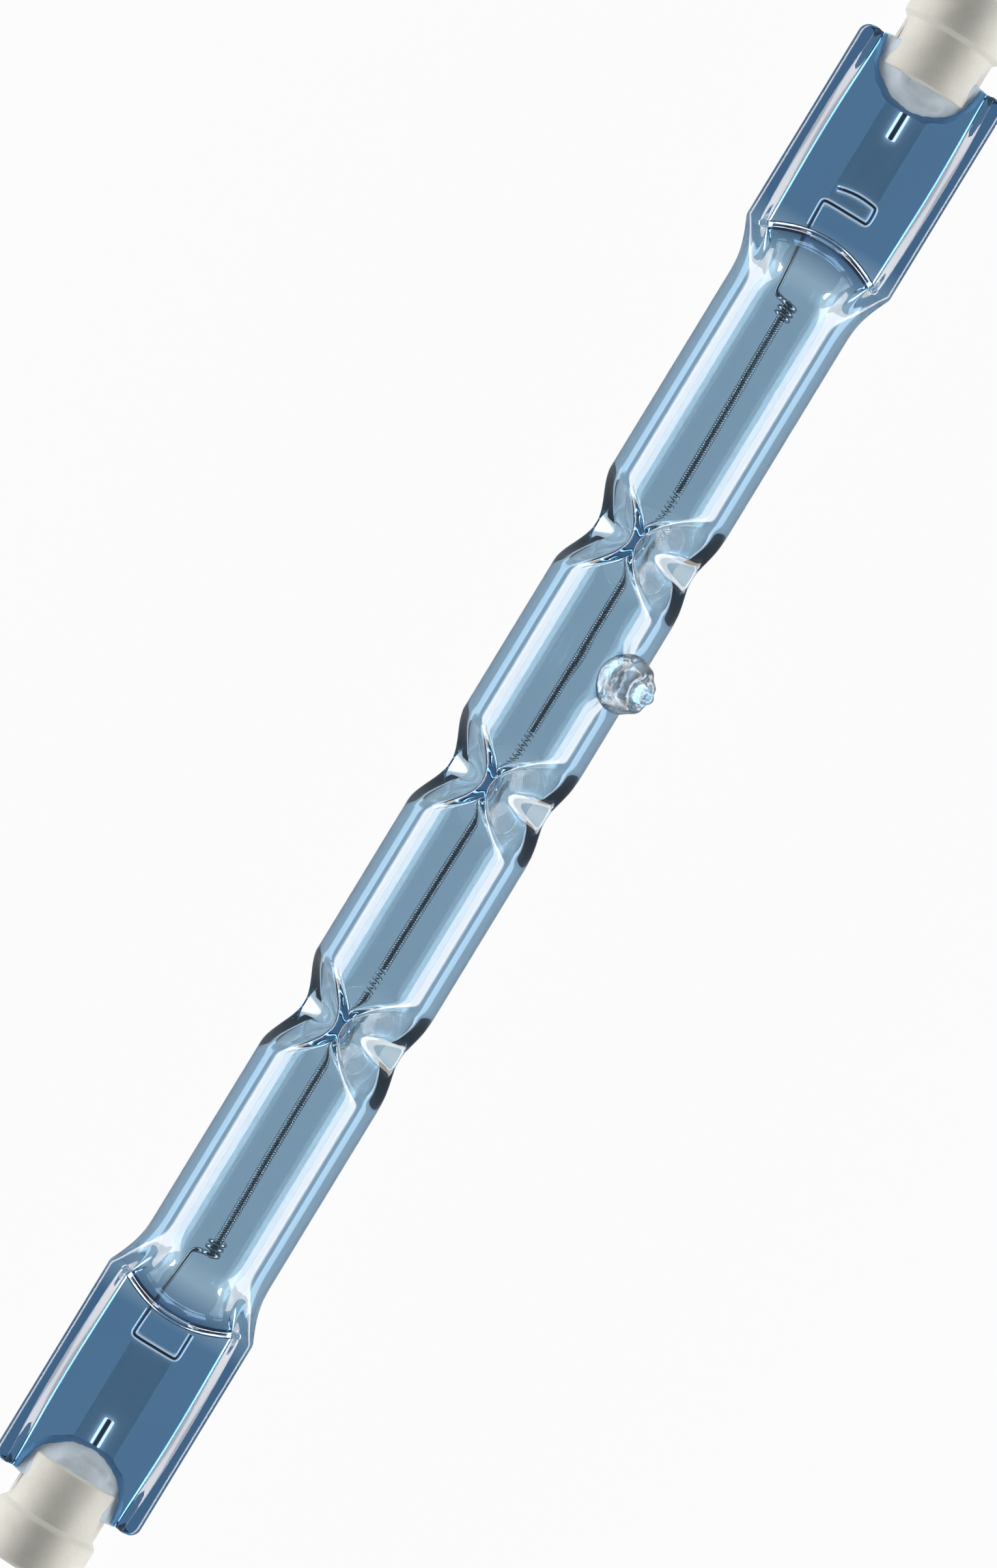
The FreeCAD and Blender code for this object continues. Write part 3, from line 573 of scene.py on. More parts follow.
def outer_spot(station, share, side, top):
    """Where a point of the spun tube goes on the outside of the glass."""
    along = abs(station)
    angle = math.pi / 2 * share
    round_y, round_z = TUBE_RADIUS * math.sin(angle), TUBE_RADIUS * math.cos(angle)
    if along <= FLARE_START:
        return Vector((station, side * round_y, top * round_z))
    swell = math.sin(math.pi * between(PRESS_APEX, SWELL_END, along)) ** SWELL_FULLNESS
    flat = pinch_section(share, swell)
    way = between(FLARE_START, PRESS_APEX, along)
    bulge = min(RIB_BULGE, PRESS_BULGE * (flat.x / WEB_HALF_WIDTH) ** 2)
    if along < PRESS_APEX:
        shift = bulge * eased(way)
    else:
        shift = bulge * (1 - eased(between(PRESS_APEX, PRESS_APEX + BULGE_FADE, along)))
    y = round_y + (flat.x - round_y) * way ** FLAT_GROWTH
    z = round_z + (flat.y - round_z) * pressed_share(way)
    z += press_step(along) * between(1.0, STEP_FADE_SHARE, share)
    left = PINCH_END - along
    if left < CORNER_RADIUS:
        inner = PINCH_HALF_WIDTH - CORNER_RADIUS
        limit = inner + math.sqrt(max(CORNER_RADIUS ** 2 - (CORNER_RADIUS - left) ** 2, 0.0))
        if y > CORNER_FOOT:
            squeeze = (limit - CORNER_FOOT) / (PINCH_HALF_WIDTH - CORNER_FOOT)
            y = CORNER_FOOT + (y - CORNER_FOOT) * squeeze
        z *= 1 - END_ROUNDING * (1 - min(left / END_ROUNDING_LENGTH, 1.0)) ** 2
    return Vector((math.copysign(along - shift, station), side * y, top * z))


# %% [markdown]
# ## The hollow inside
#
# The bore follows the outside, a wall's thickness in. At each end it widens and flattens like the
# tip of a tongue, and closes along an arc inside the press's edge.

# %% The bore
CAVITY_HALF_WIDTH = 4.05
CAVITY_HALF_THICKNESS = 0.75
CAVITY_END = 40.1
CAVITY_BULGE = 1.25
CLOSING = 1.2
CLOSING_NARROWING = 0.03
CLOSING_ROWS = 12


def bore_stations():
    """Places from the flare to the closed end of the bore."""
    quarter = math.pi / 2
    closing = [CLOSING * math.cos(quarter * row / CLOSING_ROWS) for row in range(CLOSING_ROWS + 1)]
    return run(FLARE_START, CAVITY_END - CLOSING, FLARE_STEP) + [CAVITY_END - left for left in closing]


def bore_spot(station, share, side, top):
    """Where a point of the spun tube goes on the inside of the glass."""
    along = abs(station)
    angle = math.pi / 2 * share
    across, up = math.sin(angle), math.cos(angle)
    if along <= FLARE_START:
        return Vector((station, side * BORE_RADIUS * across, top * BORE_RADIUS * up))
    way = between(FLARE_START, CAVITY_END, along)
    half_width = BORE_RADIUS + (CAVITY_HALF_WIDTH - BORE_RADIUS) * way ** 2
    half_thickness = BORE_RADIUS + (CAVITY_HALF_THICKNESS - BORE_RADIUS) * pressed_share(way)
    inside = between(CAVITY_END - CLOSING, CAVITY_END, along)
    half_thickness *= math.sqrt(max(1 - inside * inside, 0.0))
    half_width *= 1 - CLOSING_NARROWING * inside * inside
    x = math.copysign(along - CAVITY_BULGE * across * across * eased(way), station)
    return Vector((x, side * half_width * across, top * half_thickness * up))


# %% [markdown]
# ## Dimples and the exhaust tip
#
# Three dimples at each of three stations hold the coil in the middle. A blunt tool was pushed in
# towards the axis, so each is a funnel with a small flat floor and a wide soft rim. The funnel is
# a height over the distance from the tool's own axis, and a point keeps whichever is lower, the
# tube's surface or the funnel. The three funnels are twice as wide across as along, and they pull
# the ridges between them in a little, so the tube is nearly three-sided there. Round the exhaust
# tip the glass swells up instead.

# %% Funnels and the tip
FUNNEL_FLOOR = 1.05
FUNNEL_FLOOR_RADIUS = 0.5
FUNNEL_SIDE = 1.36
FUNNEL_ROUNDNESS = 1.0
FUNNEL_SHOULDER = 4.0
FUNNEL_RIM = 1.0
FUNNEL_RIM_SOFT = 0.3
FUNNEL_SOFT = 0.4
FUNNEL_WIDENING = 0.5
FUNNEL_LIMIT = 6.0
RIDGE_SINK = 0.25
RIDGE_REACH = 3.6
DIMPLE_FLOOR_WALL = 0.5
DIMPLE_SIDE_WALL = 0.85
DIMPLE_BACK_SOFT = 0.8


def towards(turn):
    """The direction out of the lamp at a turn from the top, in degrees."""
    angle = math.radians(turn)
    return Vector((0, -math.sin(angle), math.cos(angle)))


def funnel(distance):
    """Height of a dimple's surface above the lamp's axis."""
    side = FUNNEL_FLOOR + max(distance - FUNNEL_FLOOR_RADIUS, 0.0) * FUNNEL_SIDE
    reach = (FUNNEL_SHOULDER - FUNNEL_FLOOR) / FUNNEL_SIDE + FUNNEL_FLOOR_RADIUS
    rim = FUNNEL_SHOULDER + (distance - reach) * FUNNEL_RIM
    return smaller(side, rim, FUNNEL_RIM_SOFT)


def pressed_in(spot, inside):
    """Pushes a point inwards where the tool of a dimple reached."""
    for place in DIMPLE_STATIONS:
        if abs(spot.x - place) > FUNNEL_LIMIT:
            continue
        sink = RIDGE_SINK * eased(between(RIDGE_REACH, 0, abs(spot.x - place)))
        inwards = 1 - sink / math.hypot(spot.y, spot.z)
        spot = Vector((spot.x, spot.y * inwards, spot.z * inwards))
        for turn in DIMPLE_TURNS:
            out = towards(turn)
            height = spot.dot(out)
            if height <= 0:
                continue
            aside = spot - out * height
            across = FUNNEL_WIDENING * math.hypot(aside.y, aside.z)
            distance = math.hypot(spot.x - place, across, FUNNEL_ROUNDNESS)
            surface = funnel(distance - FUNNEL_ROUNDNESS / 2)
            if inside:
                back = FUNNEL_FLOOR - DIMPLE_FLOOR_WALL
                surface = larger(surface - DIMPLE_SIDE_WALL, back, DIMPLE_BACK_SOFT)
            lower = smaller(height, surface, FUNNEL_SOFT)
            spot = spot + out * (lower - height)
    return spot


TIP_FOOT = 2.75
TIP_FOOT_HEIGHT = 0.45


def drawn_out(spot):
    """Raises the glass a little round the foot of the exhaust tip."""
    out = towards(TIP_TURN)
    height = spot.dot(out)
    aside = spot - out * height
    distance = math.hypot(spot.x - TIP_PLACE, math.hypot(aside.y, aside.z))
    if height <= 0 or distance > TIP_FOOT:
        return spot
    return spot + out * TIP_FOOT_HEIGHT * eased(1 - distance / TIP_FOOT)


# %% [markdown]
# ## Spinning the skins
#
# Two ready-made cylinders would have evenly spaced rings, but these need to be close in some
# places, so a line with the stations as its points is spun into a tube. The bore is turned inside
# out, so that its faces too point away from the glass.

# %% Make the quartz body
def spun_skin(ends, radius, spot_for, inside):
    """One skin of the glass, from the end of one pinch to the end of the other."""
    stations = [-place for place in reversed(ends)] + TUBE_STATIONS[1:] + ends
    bm = bmesh.new()
    line = [bm.verts.new((place, 0, radius)) for place in stations]
    edges = [bm.edges.new(pair) for pair in zip(line, line[1:])]
    bmesh.ops.spin(
        bm, geom=line + edges, axis=(1, 0, 0), cent=(0, 0, 0),
        angle=2 * math.pi, steps=AROUND, use_merge=True,
    )
    for vertex in bm.verts:
        x, y, z = vertex.co
        share = math.atan2(abs(y), abs(z)) / (math.pi / 2)
        spot = spot_for(x, share, math.copysign(1, y), math.copysign(1, z))
        vertex.co = drawn_out(pressed_in(spot, inside))
    return bm


def stand_together(target, added):
    """Puts one mesh into another."""
    mesh = bpy.data.meshes.new("part")
    added.to_mesh(mesh)
    added.free()
    target.from_mesh(mesh)
    bpy.data.meshes.remove(mesh)


def close_ends(bm):
    """Fills every open loop of edges with a face."""
    bmesh.ops.holes_fill(bm, edges=[edge for edge in bm.edges if edge.is_boundary], sides=0)


glass = spun_skin(end_stations(), TUBE_RADIUS, outer_spot, inside=False)
close_ends(glass)
face_outwards(glass)
bore = spun_skin(bore_stations(), BORE_RADIUS, bore_spot, inside=True)
face_outwards(bore)
bmesh.ops.reverse_faces(bore, faces=bore.faces)
stand_together(glass, bore)
piece_from(glass, "quartz_body", "quartz", QUARTZ, "quartz_envelope")

# %% [markdown]
# ## The exhaust tip
#
# The lamp was emptied and filled through a thin tube, which was then melted off. What stays is a
# small crumpled button of glass with a pit round its last drop. It is its own piece here, because
# its glass is full of folds and looks white where the tube is clear. The outline is spun, laid on
# the tube like a saddle, and crumpled by noise before a subdivision smooths it.

# %% Exhaust tip
TIP_STEPS = 44
TIP_OUTLINE = [
    (-0.25, 0.0), (-0.25, 1.0), (-0.25, 1.95), (0.1, 2.05), (0.5, 1.98), (0.9, 1.8),
    (1.25, 1.68), (1.6, 1.5), (1.8, 1.2), (1.62, 0.95), (1.45, 0.78), (1.7, 0.6),
    (2.15, 0.5), (2.55, 0.42), (2.8, 0.22), (2.85, 0.0),
]
BIG_CRUMPLE, SMALL_CRUMPLE = 0.16, 0.07
CRUMPLE_FROM, CRUMPLE_FULL = -0.2, 0.5
SADDLE_HEIGHT = 1.6
FOLD_SCALE = 1800.0
FOLD_DEPTH = 0.0001
FOLD_TINTS = ((0.42, 0.52, 0.60, 1), (1.0, 1.0, 1.0, 1))

melted = Finish("melted_quartz")
folds = melted.noise(melted.place(), scale=FOLD_SCALE, detail=4.0)
melted_surface = melted.surface(
    Base_Color=melted.blend((3.0 * folds - 1.0).held(), *FOLD_TINTS),
    Roughness=0.08 + 0.2 * folds,
    IOR=QUARTZ_IOR,
    Transmission_Weight=1.0,
    Normal=melted.bump(folds, strength=0.8, depth=FOLD_DEPTH),
)
MELTED = melted.show(melted_surface)


def spun_outline(points, steps):
    """A closed outline in the plane of the axis, spun all the way round."""
    bm = bmesh.new()
    corners = [bm.verts.new((x, 0, radius)) for x, radius in points]
    edges = [bm.edges.new(pair) for pair in zip(corners, corners[1:] + corners[:1])]
    bmesh.ops.spin(
        bm, geom=corners + edges, axis=(1, 0, 0), cent=(0, 0, 0),
        angle=2 * math.pi, steps=steps, use_merge=True,
    )
    face_outwards(bm)
    return bm


def exhaust_tip():
    bm = spun_outline(TIP_OUTLINE, TIP_STEPS)
    for vertex in bm.verts:
        height, across = vertex.co.x, vertex.co.y
        crumple = BIG_CRUMPLE * noise.noise(vertex.co * 1.3)
        crumple += SMALL_CRUMPLE * noise.noise(vertex.co * 3.1)
        vertex.co += vertex.normal * crumple * between(CRUMPLE_FROM, CRUMPLE_FULL, height)
        saddle = TUBE_RADIUS - math.sqrt(TUBE_RADIUS ** 2 - across ** 2)
        vertex.co.x += TUBE_RADIUS - saddle * (1 - between(0.0, SADDLE_HEIGHT, height))
    out, lengthwise = towards(TIP_TURN), Vector((1, 0, 0))
    turn = Matrix((out, lengthwise.cross(out), lengthwise)).transposed()
    bmesh.ops.rotate(bm, verts=bm.verts, cent=(0, 0, 0), matrix=turn)
    bmesh.ops.translate(bm, verts=bm.verts, vec=(TIP_PLACE, 0, 0))
    face_outwards(bm)
    piece = piece_from(bm, "exhaust_tip", "quartz", MELTED, "quartz_envelope")
    smooth = piece.modifiers.new("smooth", "SUBSURF")
    smooth.levels = 2
    smooth.render_levels = 2


exhaust_tip()

# %% [markdown]
# ## The coil
#
# The filament is a close coil of fine wire. Spin with an offset along its axis winds a helix. One
# long spin would be slow, because each step looks at all the wire made so far, so the coil is
# wound in short lengths whose ends meet and are merged. Beside each station of dimples a few
# turns are pulled open, as the photograph shows.

# %% Wind the filament
COIL_RADIUS = 0.275
WIRE_RADIUS = 0.058
TURN_STEPS = 10
CLOSE_PITCH = 0.165
OPEN_PITCH = 0.34
LENGTH_TURNS = 12
WIRE_SIDES = 5
WELD = 0.002
STRAY, STRAY_LENGTH, STRAY_START = 0.16, 11.5, 4
STRAY_OFFSET = 0.05
STRAY_FADE = 8
COIL_END = box_mm("filament_coil")[1].x
OPEN_STRETCHES = ((-16.0, -14.2), (0.6, 3.7), (18.8, 21.6))


def wound(start, turns, pitch):
    """A few turns of coil as a mesh of their own, from a ring of wire at the top."""
    bm = bmesh.new()
    circle = bmesh.ops.create_circle(bm, cap_ends=False, radius=WIRE_RADIUS, segments=WIRE_SIDES)
    ring = circle["verts"]
    bmesh.ops.rotate(bm, verts=ring, cent=(0, 0, 0), matrix=Matrix.Rotation(math.pi / 2, 3, "X"))
    bmesh.ops.translate(bm, verts=ring, vec=(start, 0, COIL_RADIUS))
    bmesh.ops.spin(
        bm, geom=ring + list(bm.edges), axis=(1, 0, 0), cent=(0, 0, 0), dvec=(pitch / TURN_STEPS, 0, 0),
        angle=turns * 2 * math.pi, steps=turns * TURN_STEPS,
    )
    return bm


def wind(bm, start, end, pitch):
    """Winds one stretch of coil out of short lengths that join end to end."""
    turns = round((end - start) / pitch)
    pitch = (end - start) / turns
    done = 0
    while done < turns:
        length = min(LENGTH_TURNS, turns - done)
        stand_together(bm, wound(start + done * pitch, length, pitch))
        done += length


def coil_sag(x):
    """How far the coil strays from the straight line between its clamps."""
    fade = eased(between(COIL_END, COIL_END - STRAY_FADE, abs(x)))
    return fade * (-STRAY * math.sin((x + STRAY_START) / STRAY_LENGTH) - STRAY_OFFSET)


filament = bmesh.new()
reached = WIRE_RADIUS - COIL_END
for low, high in OPEN_STRETCHES:
    wind(filament, reached, low, CLOSE_PITCH)
    wind(filament, low, high, OPEN_PITCH)
    reached = high
wind(filament, reached, COIL_END - WIRE_RADIUS, CLOSE_PITCH)
bmesh.ops.remove_doubles(filament, verts=filament.verts, dist=WELD)
close_ends(filament)
for vertex in filament.verts:
    vertex.co.y += coil_sag(vertex.co.x)
face_outwards(filament)
piece_from(filament, "coil", "tungsten", TUNGSTEN, "filament_coil")

# %% [markdown]
# ## Bent wires
#
# Each inner lead is one piece of wire: a few turns clamp the end of the coil, a leg runs to the
# pinch, and a hairpin holds it in the glass. A curve with a round bevel is the natural way to
# bend a wire. Its points are the bends, and the smooth spline rounds them. Each point has a
# thickness of its own: in the pinch, where the photograph shows a finer line, the wire is a little
# thinner.

# %% Bend a wire
INNER_WIRE = 0.14
SEALED_FROM = 40.3
SEALED_THINNESS = 0.72
WIRE_SMOOTHNESS = 4


def bent_wire(points, radius, sides):
    """A wire through the points, as a mesh with closed ends."""
    curve = bpy.data.curves.new("wire", "CURVE")
    curve.dimensions = "3D"
    spline = curve.splines.new("NURBS")
    spline.points.add(len(points) - 1)
    for knot, point in zip(spline.points, points):
        knot.co = (*point, 1)
        knot.radius = SEALED_THINNESS if point[0] > SEALED_FROM else 1.0
    spline.order_u = 3
    spline.use_endpoint_u = True
    spline.resolution_u = WIRE_SMOOTHNESS
    curve.bevel_depth = radius
    curve.bevel_resolution = sides
    curve.use_fill_caps = True
    holder = bpy.data.objects.new("wire", curve)
    scene.collection.objects.link(holder)
    bpy.context.view_layer.update()
    evaluated = holder.evaluated_get(bpy.context.evaluated_depsgraph_get())
    mesh = bpy.data.meshes.new_from_object(evaluated)
    bm = bmesh.new()
    bm.from_mesh(mesh)
    bpy.data.objects.remove(holder)
    bpy.data.curves.remove(curve)
    bpy.data.meshes.remove(mesh)
    return bm


# %% [markdown]
# ## The inner leads' routes
#
# All of a lead's bends but the clamp lie at one height, so they are places along and across the
# lamp. The left lead is the right one in a mirror, with a shorter free end and without the second
# loop on the foil, which only the right one has in the photograph.

# %% Inner leads
LEAD_LEVEL = -0.16
LOOPED_START = ((43.55, 1.25), (43.85, 0.2), (43.75, -1.4), (43.6, -1.6), (42.5, -1.62))
STRAIGHT_START = ((40.6, -1.62), (41.5, -1.62), (42.45, -1.62))
CROSSING = ((42.5, -1.3), (42.5, 0.0), (42.5, 1.3), (42.42, 1.6), (42.1, 1.62))
LEG = ((40.0, 1.52), (36.3, 1.2), (35.75, 1.17), (35.62, 1.05), (35.55, 0.85))
CLAMP_RADIUS = 0.345 + INNER_WIRE
CLAMP_START = 35.5
CLAMP_TURNS = 2.6
CLAMP_PITCH = 0.36
CLAMP_STEPS = 12


def at_lead_level(spots):
    return [(x, y, LEAD_LEVEL) for x, y in spots]


def hairpin_points(loop):
    """The part of the right lead's route that lies in solid glass."""
    return at_lead_level((LOOPED_START if loop else STRAIGHT_START) + CROSSING)


def clamp_points():
    """Points round the end of the coil, going towards the middle of the lamp."""
    reach = CLAMP_RADIUS / math.cos(math.pi / CLAMP_STEPS) ** 2
    points = []
    for step in range(round(CLAMP_TURNS * CLAMP_STEPS) + 1):
        angle = 2 * math.pi * step / CLAMP_STEPS
        x = CLAMP_START - CLAMP_PITCH * step / CLAMP_STEPS
        points.append((x, reach * math.cos(angle), reach * math.sin(angle)))
    return points


def inner_lead(word, side, tail, loop):
    """One lead, from the glass to the free end of its clamp."""
    turns = clamp_points()
    last = Vector(turns[-1])
    free_end = [tuple(last + Vector((-0.05, 0.25, 0.2))), tuple(last + Vector((0.1, tail, 0.3)))]
    route = hairpin_points(loop) + at_lead_level(LEG) + turns + free_end
    bm = bent_wire(route, INNER_WIRE, sides=3)
    at_end(bm, side)
    piece_from(bm, word + "_lead_wire", "tungsten", TUNGSTEN, word + "_inner_lead")


for word, side in ENDS:
    inner_lead(word, side, tail=0.75 if word == "right" else 0.35, loop=word == "right")

# %% [markdown]
# Quartz doesn't wet a wire, so a thin empty gap is left along each hairpin. It mirrors the light
# and shows as a pale line on both sides of the wire. Those lines are painted reflections here: a
# flattened glowing film, a little wider than the wire, gives that pair of lines.

# %% Glowing films along the hairpins, as painted reflections
REFLECTION_GLOW_RADIUS = 0.28
REFLECTION_GLOW_FLATNESS = 0.3
REFLECTION_GLOW_SINK = 0.04
REFLECTION_GLOW_END = ((40.6, 1.55),)


def hairpin_reflection_glow(word, side, loop):
    bm = bent_wire(hairpin_points(loop) + at_lead_level(REFLECTION_GLOW_END), REFLECTION_GLOW_RADIUS, sides=6)
    lowered = LEAD_LEVEL * (1 - REFLECTION_GLOW_FLATNESS) - REFLECTION_GLOW_SINK
    bmesh.ops.scale(bm, vec=(1, 1, REFLECTION_GLOW_FLATNESS), verts=bm.verts)
    bmesh.ops.translate(bm, vec=(0, 0, lowered), verts=bm.verts)
    at_end(bm, side)
    piece_from(bm, word + "_hairpin_reflection_glow", "tungsten", REFLECTION_GLOW, word + "_inner_lead")


for word, side in ENDS:
    hairpin_reflection_glow(word, side, loop=word == "right")

# %% [markdown]
# ## Foils and outer leads
#
# The foils are flat, so the model's own shapes are right. They stay, and take their finish. The
# outer leads are straight round wires with broken edges, laid on the foils: an outline, spun. In
# the photograph each shows as a thin black core between two white lines, so here it is a thin
# pin on a bright film, flattened from the same outline, that is as wide as the model's wire. The
# pin's near-black colour is painted shade for the dark core, and the film's glow is a painted
# reflection for the two white lines.

# %% Foils and outer leads
LEAD_LOW, LEAD_HIGH = box_mm("right_outer_lead")
LEAD_MIDDLE = (LEAD_LOW + LEAD_HIGH) / 2
LEAD_RADIUS = (LEAD_HIGH.y - LEAD_LOW.y) / 2
LEAD_CLEARANCE = 0.01
LEAD_EDGE = 0.07
LEAD_STEPS = 40
PIN_RADIUS = 0.5 * LEAD_RADIUS
LEAD_REFLECTION_GLOW_LENGTH = 4.6

for word, _ in ENDS:
    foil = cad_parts[word + "_foil"].data.materials
    foil.clear()
    foil.append(FOIL)
print("foils keep the model's shape")


def lead_part(name, word, side, radius, end, material, flatness=1.0, sink=0.0):
    """A straight round bar from the tip of an outer lead up to an end, flattened if need be."""
    start = LEAD_LOW.x + LEAD_CLEARANCE
    rounded = [(start, radius - LEAD_EDGE), (start + LEAD_EDGE, radius)]
    bm = spun_outline([(start, 0.0)] + rounded + [(end, radius), (end, 0.0)], LEAD_STEPS)
    bmesh.ops.scale(bm, vec=(1, 1, flatness), verts=bm.verts)
    bmesh.ops.translate(bm, vec=(0, LEAD_MIDDLE.y, LEAD_MIDDLE.z - sink), verts=bm.verts)
    at_end(bm, side)
    piece_from(bm, word + name, "molybdenum", material, word + "_outer_lead")


for word, side in ENDS:
    lead_part("_lead_pin", word, side, PIN_RADIUS, LEAD_HIGH.x - LEAD_CLEARANCE, LEAD)
    # The bright film's glow is a painted reflection: the two white lines beside the pin.
    reflection_glow_end = LEAD_LOW.x + LEAD_REFLECTION_GLOW_LENGTH
    lead_part("_lead_reflection_glow", word, side, LEAD_RADIUS, reflection_glow_end, BRIGHT_REFLECTION_GLOW, REFLECTION_GLOW_FLATNESS, REFLECTION_GLOW_SINK)

# %% [markdown]
# ## Ceramic caps
#
# A cap is pressed and fired as one piece: a round body with a narrower neck, a slot in the neck
# that straddles the pinch, and a recess for the contact in its face. Its outline is spun about
# the lamp's axis, the slot is cut out, and a bevel softens every sharp edge, because no fired
# edge stays sharp.

# %% Cap outline and slot
CAP_MOUTH = 51.85
NECK_RADIUS = 3.165
NECK_END = 55.25
BODY_START = 55.6
BODY_RADIUS = 3.52
CAP_END = 58.8
FACE_CHAMFER = 0.3
RECESS_RADIUS = 1.8
RECESS_FLOOR = 57.1
SEAT_RADIUS = 1.6
SEAT_FLOOR = 56.3
LEAD_HOLE = 0.4
SLOT_END = 53.7
SLOT_THICKNESS = 2.3
SLOT_TOOL_WIDTH = 12
CAP_STEPS = 96
EDGE = 0.12
SHARP = math.radians(50)
FIRED_EDGE = 0.08

CAP_OUTLINE = [
    (CAP_MOUTH, LEAD_HOLE), (CAP_MOUTH, NECK_RADIUS - EDGE), (CAP_MOUTH + EDGE, NECK_RADIUS),
    (NECK_END, NECK_RADIUS), (NECK_END + EDGE, NECK_RADIUS + EDGE / 2),
    (BODY_START, BODY_RADIUS - 0.05), (BODY_START + 0.14, BODY_RADIUS),
    (CAP_END - FACE_CHAMFER, BODY_RADIUS), (CAP_END - 0.09, BODY_RADIUS - EDGE),
    (CAP_END, BODY_RADIUS - FACE_CHAMFER), (CAP_END, RECESS_RADIUS + EDGE),
    (CAP_END - EDGE, RECESS_RADIUS), (RECESS_FLOOR, RECESS_RADIUS), (RECESS_FLOOR, SEAT_RADIUS),
    (SEAT_FLOOR, SEAT_RADIUS), (SEAT_FLOOR, LEAD_HOLE),
]


def object_from(bm, name):
    mesh = bpy.data.meshes.new(name)
    bm.to_mesh(mesh)
    bm.free()
    made = bpy.data.objects.new(name, mesh)
    scene.collection.objects.link(made)
    return made


def cut_away(bm, tool):
    """Cuts the tool's shape out of the mesh."""
    body, knife = object_from(bm, "body"), object_from(tool, "knife")
    cut = body.modifiers.new("cut", "BOOLEAN")
    cut.object = knife
    cut.operation = "DIFFERENCE"
    cut.solver = "EXACT"
    bpy.context.view_layer.update()
    evaluated = body.evaluated_get(bpy.context.evaluated_depsgraph_get())
    mesh = bpy.data.meshes.new_from_object(evaluated)
    result = bmesh.new()
    result.from_mesh(mesh)
    for used in (body, knife):
        bpy.data.objects.remove(used)
    bpy.data.meshes.remove(mesh)
    return result


def slot_tool():
    """The shape of the slot: a bar as thick as the web and the cement on it."""
    bm = bmesh.new()
    bmesh.ops.create_cube(bm, size=1)
    length = 2 * (SLOT_END - CAP_MOUTH)
    bmesh.ops.scale(bm, vec=(length, SLOT_TOOL_WIDTH, SLOT_THICKNESS), verts=bm.verts)
    bmesh.ops.translate(bm, vec=(CAP_MOUTH, 0, 0), verts=bm.verts)
    return bm


def cap(word, side):
    bm = cut_away(spun_outline(CAP_OUTLINE, CAP_STEPS), slot_tool())
    at_end(bm, side)
    inner = [edge for edge in bm.edges if len(edge.link_faces) == 2]
    sharp = [edge for edge in inner if edge.calc_face_angle() > SHARP]
    bmesh.ops.bevel(
        bm, geom=sharp, offset=FIRED_EDGE, offset_type="OFFSET", segments=2,
        profile=0.5, material=-1, affect="EDGES",
    )
    piece_from(bm, word + "_ceramic", "cap_ceramic", CERAMIC, word + "_cap")


for word, side in ENDS:
    cap(word, side)

# %% [markdown]
# ## Contact buttons
#
# Each button is a nickel disc at the bottom of the recess, with a shallow cup pressed into it by
# the tool that seated it. A disc could be inset and bevelled, but an outline that is spun like
# the cap's holds the rolled edge and the cup in one go.

# %% Contact buttons
CONTACT_BACK = SEAT_FLOOR + 0.02
CONTACT_FACE = RECESS_FLOOR
CONTACT_RADIUS = 1.48
CONTACT_STEPS = 64
CONTACT_OUTLINE = [
    (CONTACT_BACK, 0.0), (CONTACT_BACK, CONTACT_RADIUS),
    (CONTACT_FACE - 0.14, CONTACT_RADIUS - 0.04), (CONTACT_FACE - 0.04, CONTACT_RADIUS - 0.1),
    (CONTACT_FACE, CONTACT_RADIUS - 0.22), (CONTACT_FACE, 0.75), (CONTACT_FACE - 0.06, 0.62),
    (CONTACT_FACE - 0.14, 0.35), (CONTACT_FACE - 0.16, 0.0),
]


def contact(word, side):
    bm = spun_outline(CONTACT_OUTLINE, CONTACT_STEPS)
    at_end(bm, side)
    piece_from(bm, word + "_button", "nickel", NICKEL, word + "_contact")


for word, side in ENDS:
    contact(word, side)

# %% [markdown]
# ## Cement
#
# Cement fills the slot and swells out over the web as a rounded tongue on both faces. A dome is
# cut from a sphere that is stretched to the tongue's length and width, and the surface is
# roughened a little, because cement sets as it was smeared.

# %% Cement
TONGUE_TIP = 49.75
TONGUE_HALF_WIDTH = 3.75
TONGUE_MIDDLE = 53.2
TONGUE_HEIGHT = 2.35
TONGUE_DRIFTS = {"right": 0.1, "left": 0.0}
CEMENT_LUMPS, CEMENT_GRAINS = 0.14, 0.05


def cement(word, side, drift):
    """One lump of cement: a stretched ball, trimmed flat inside the cap."""
    bm = bmesh.new()
    bmesh.ops.create_uvsphere(bm, u_segments=96, v_segments=64, radius=1)
    half_length = TONGUE_MIDDLE - TONGUE_TIP
    bmesh.ops.scale(bm, vec=(half_length, TONGUE_HALF_WIDTH, TONGUE_HEIGHT), verts=bm.verts)
    bmesh.ops.translate(bm, vec=(TONGUE_MIDDLE, drift, 0), verts=bm.verts)
    for vertex in bm.verts:
        lumps = noise.noise(vertex.co * 1.1) * CEMENT_LUMPS
        grains = noise.noise(vertex.co * 3.7) * CEMENT_GRAINS
        vertex.co += vertex.normal * (lumps + grains)
    trimmed = bmesh.ops.bisect_plane(
        bm, geom=list(bm.verts) + list(bm.edges) + list(bm.faces),
        plane_co=(SLOT_END - 0.05, 0, 0), plane_no=(1, 0, 0), clear_outer=True,
    )
    rim = [item for item in trimmed["geom_cut"] if isinstance(item, bmesh.types.BMEdge)]
    bmesh.ops.holes_fill(bm, edges=rim, sides=0)
    at_end(bm, side)
    piece_from(bm, word + "_cement_lump", "cement", CEMENT, word + "_cement")


for word, side in ENDS:
    cement(word, side, TONGUE_DRIFTS[word])

# %% [markdown]
# ## Floor and light
#
# The photograph was taken on white, between two long soft lights at the lamp's sides: they give
# the ceramic its bright flanks and the glass its two white bands. The floor shows itself white to
# the camera and through the glass, and still takes a little of the lamp's shadow.

# %% Floor
FLOOR_HALF = 3.0
FLOOR_GLOW = 0.96
PAPER = (0.94, 0.94, 0.94, 1)
FULL_WHITE = (1, 1, 1, 1)

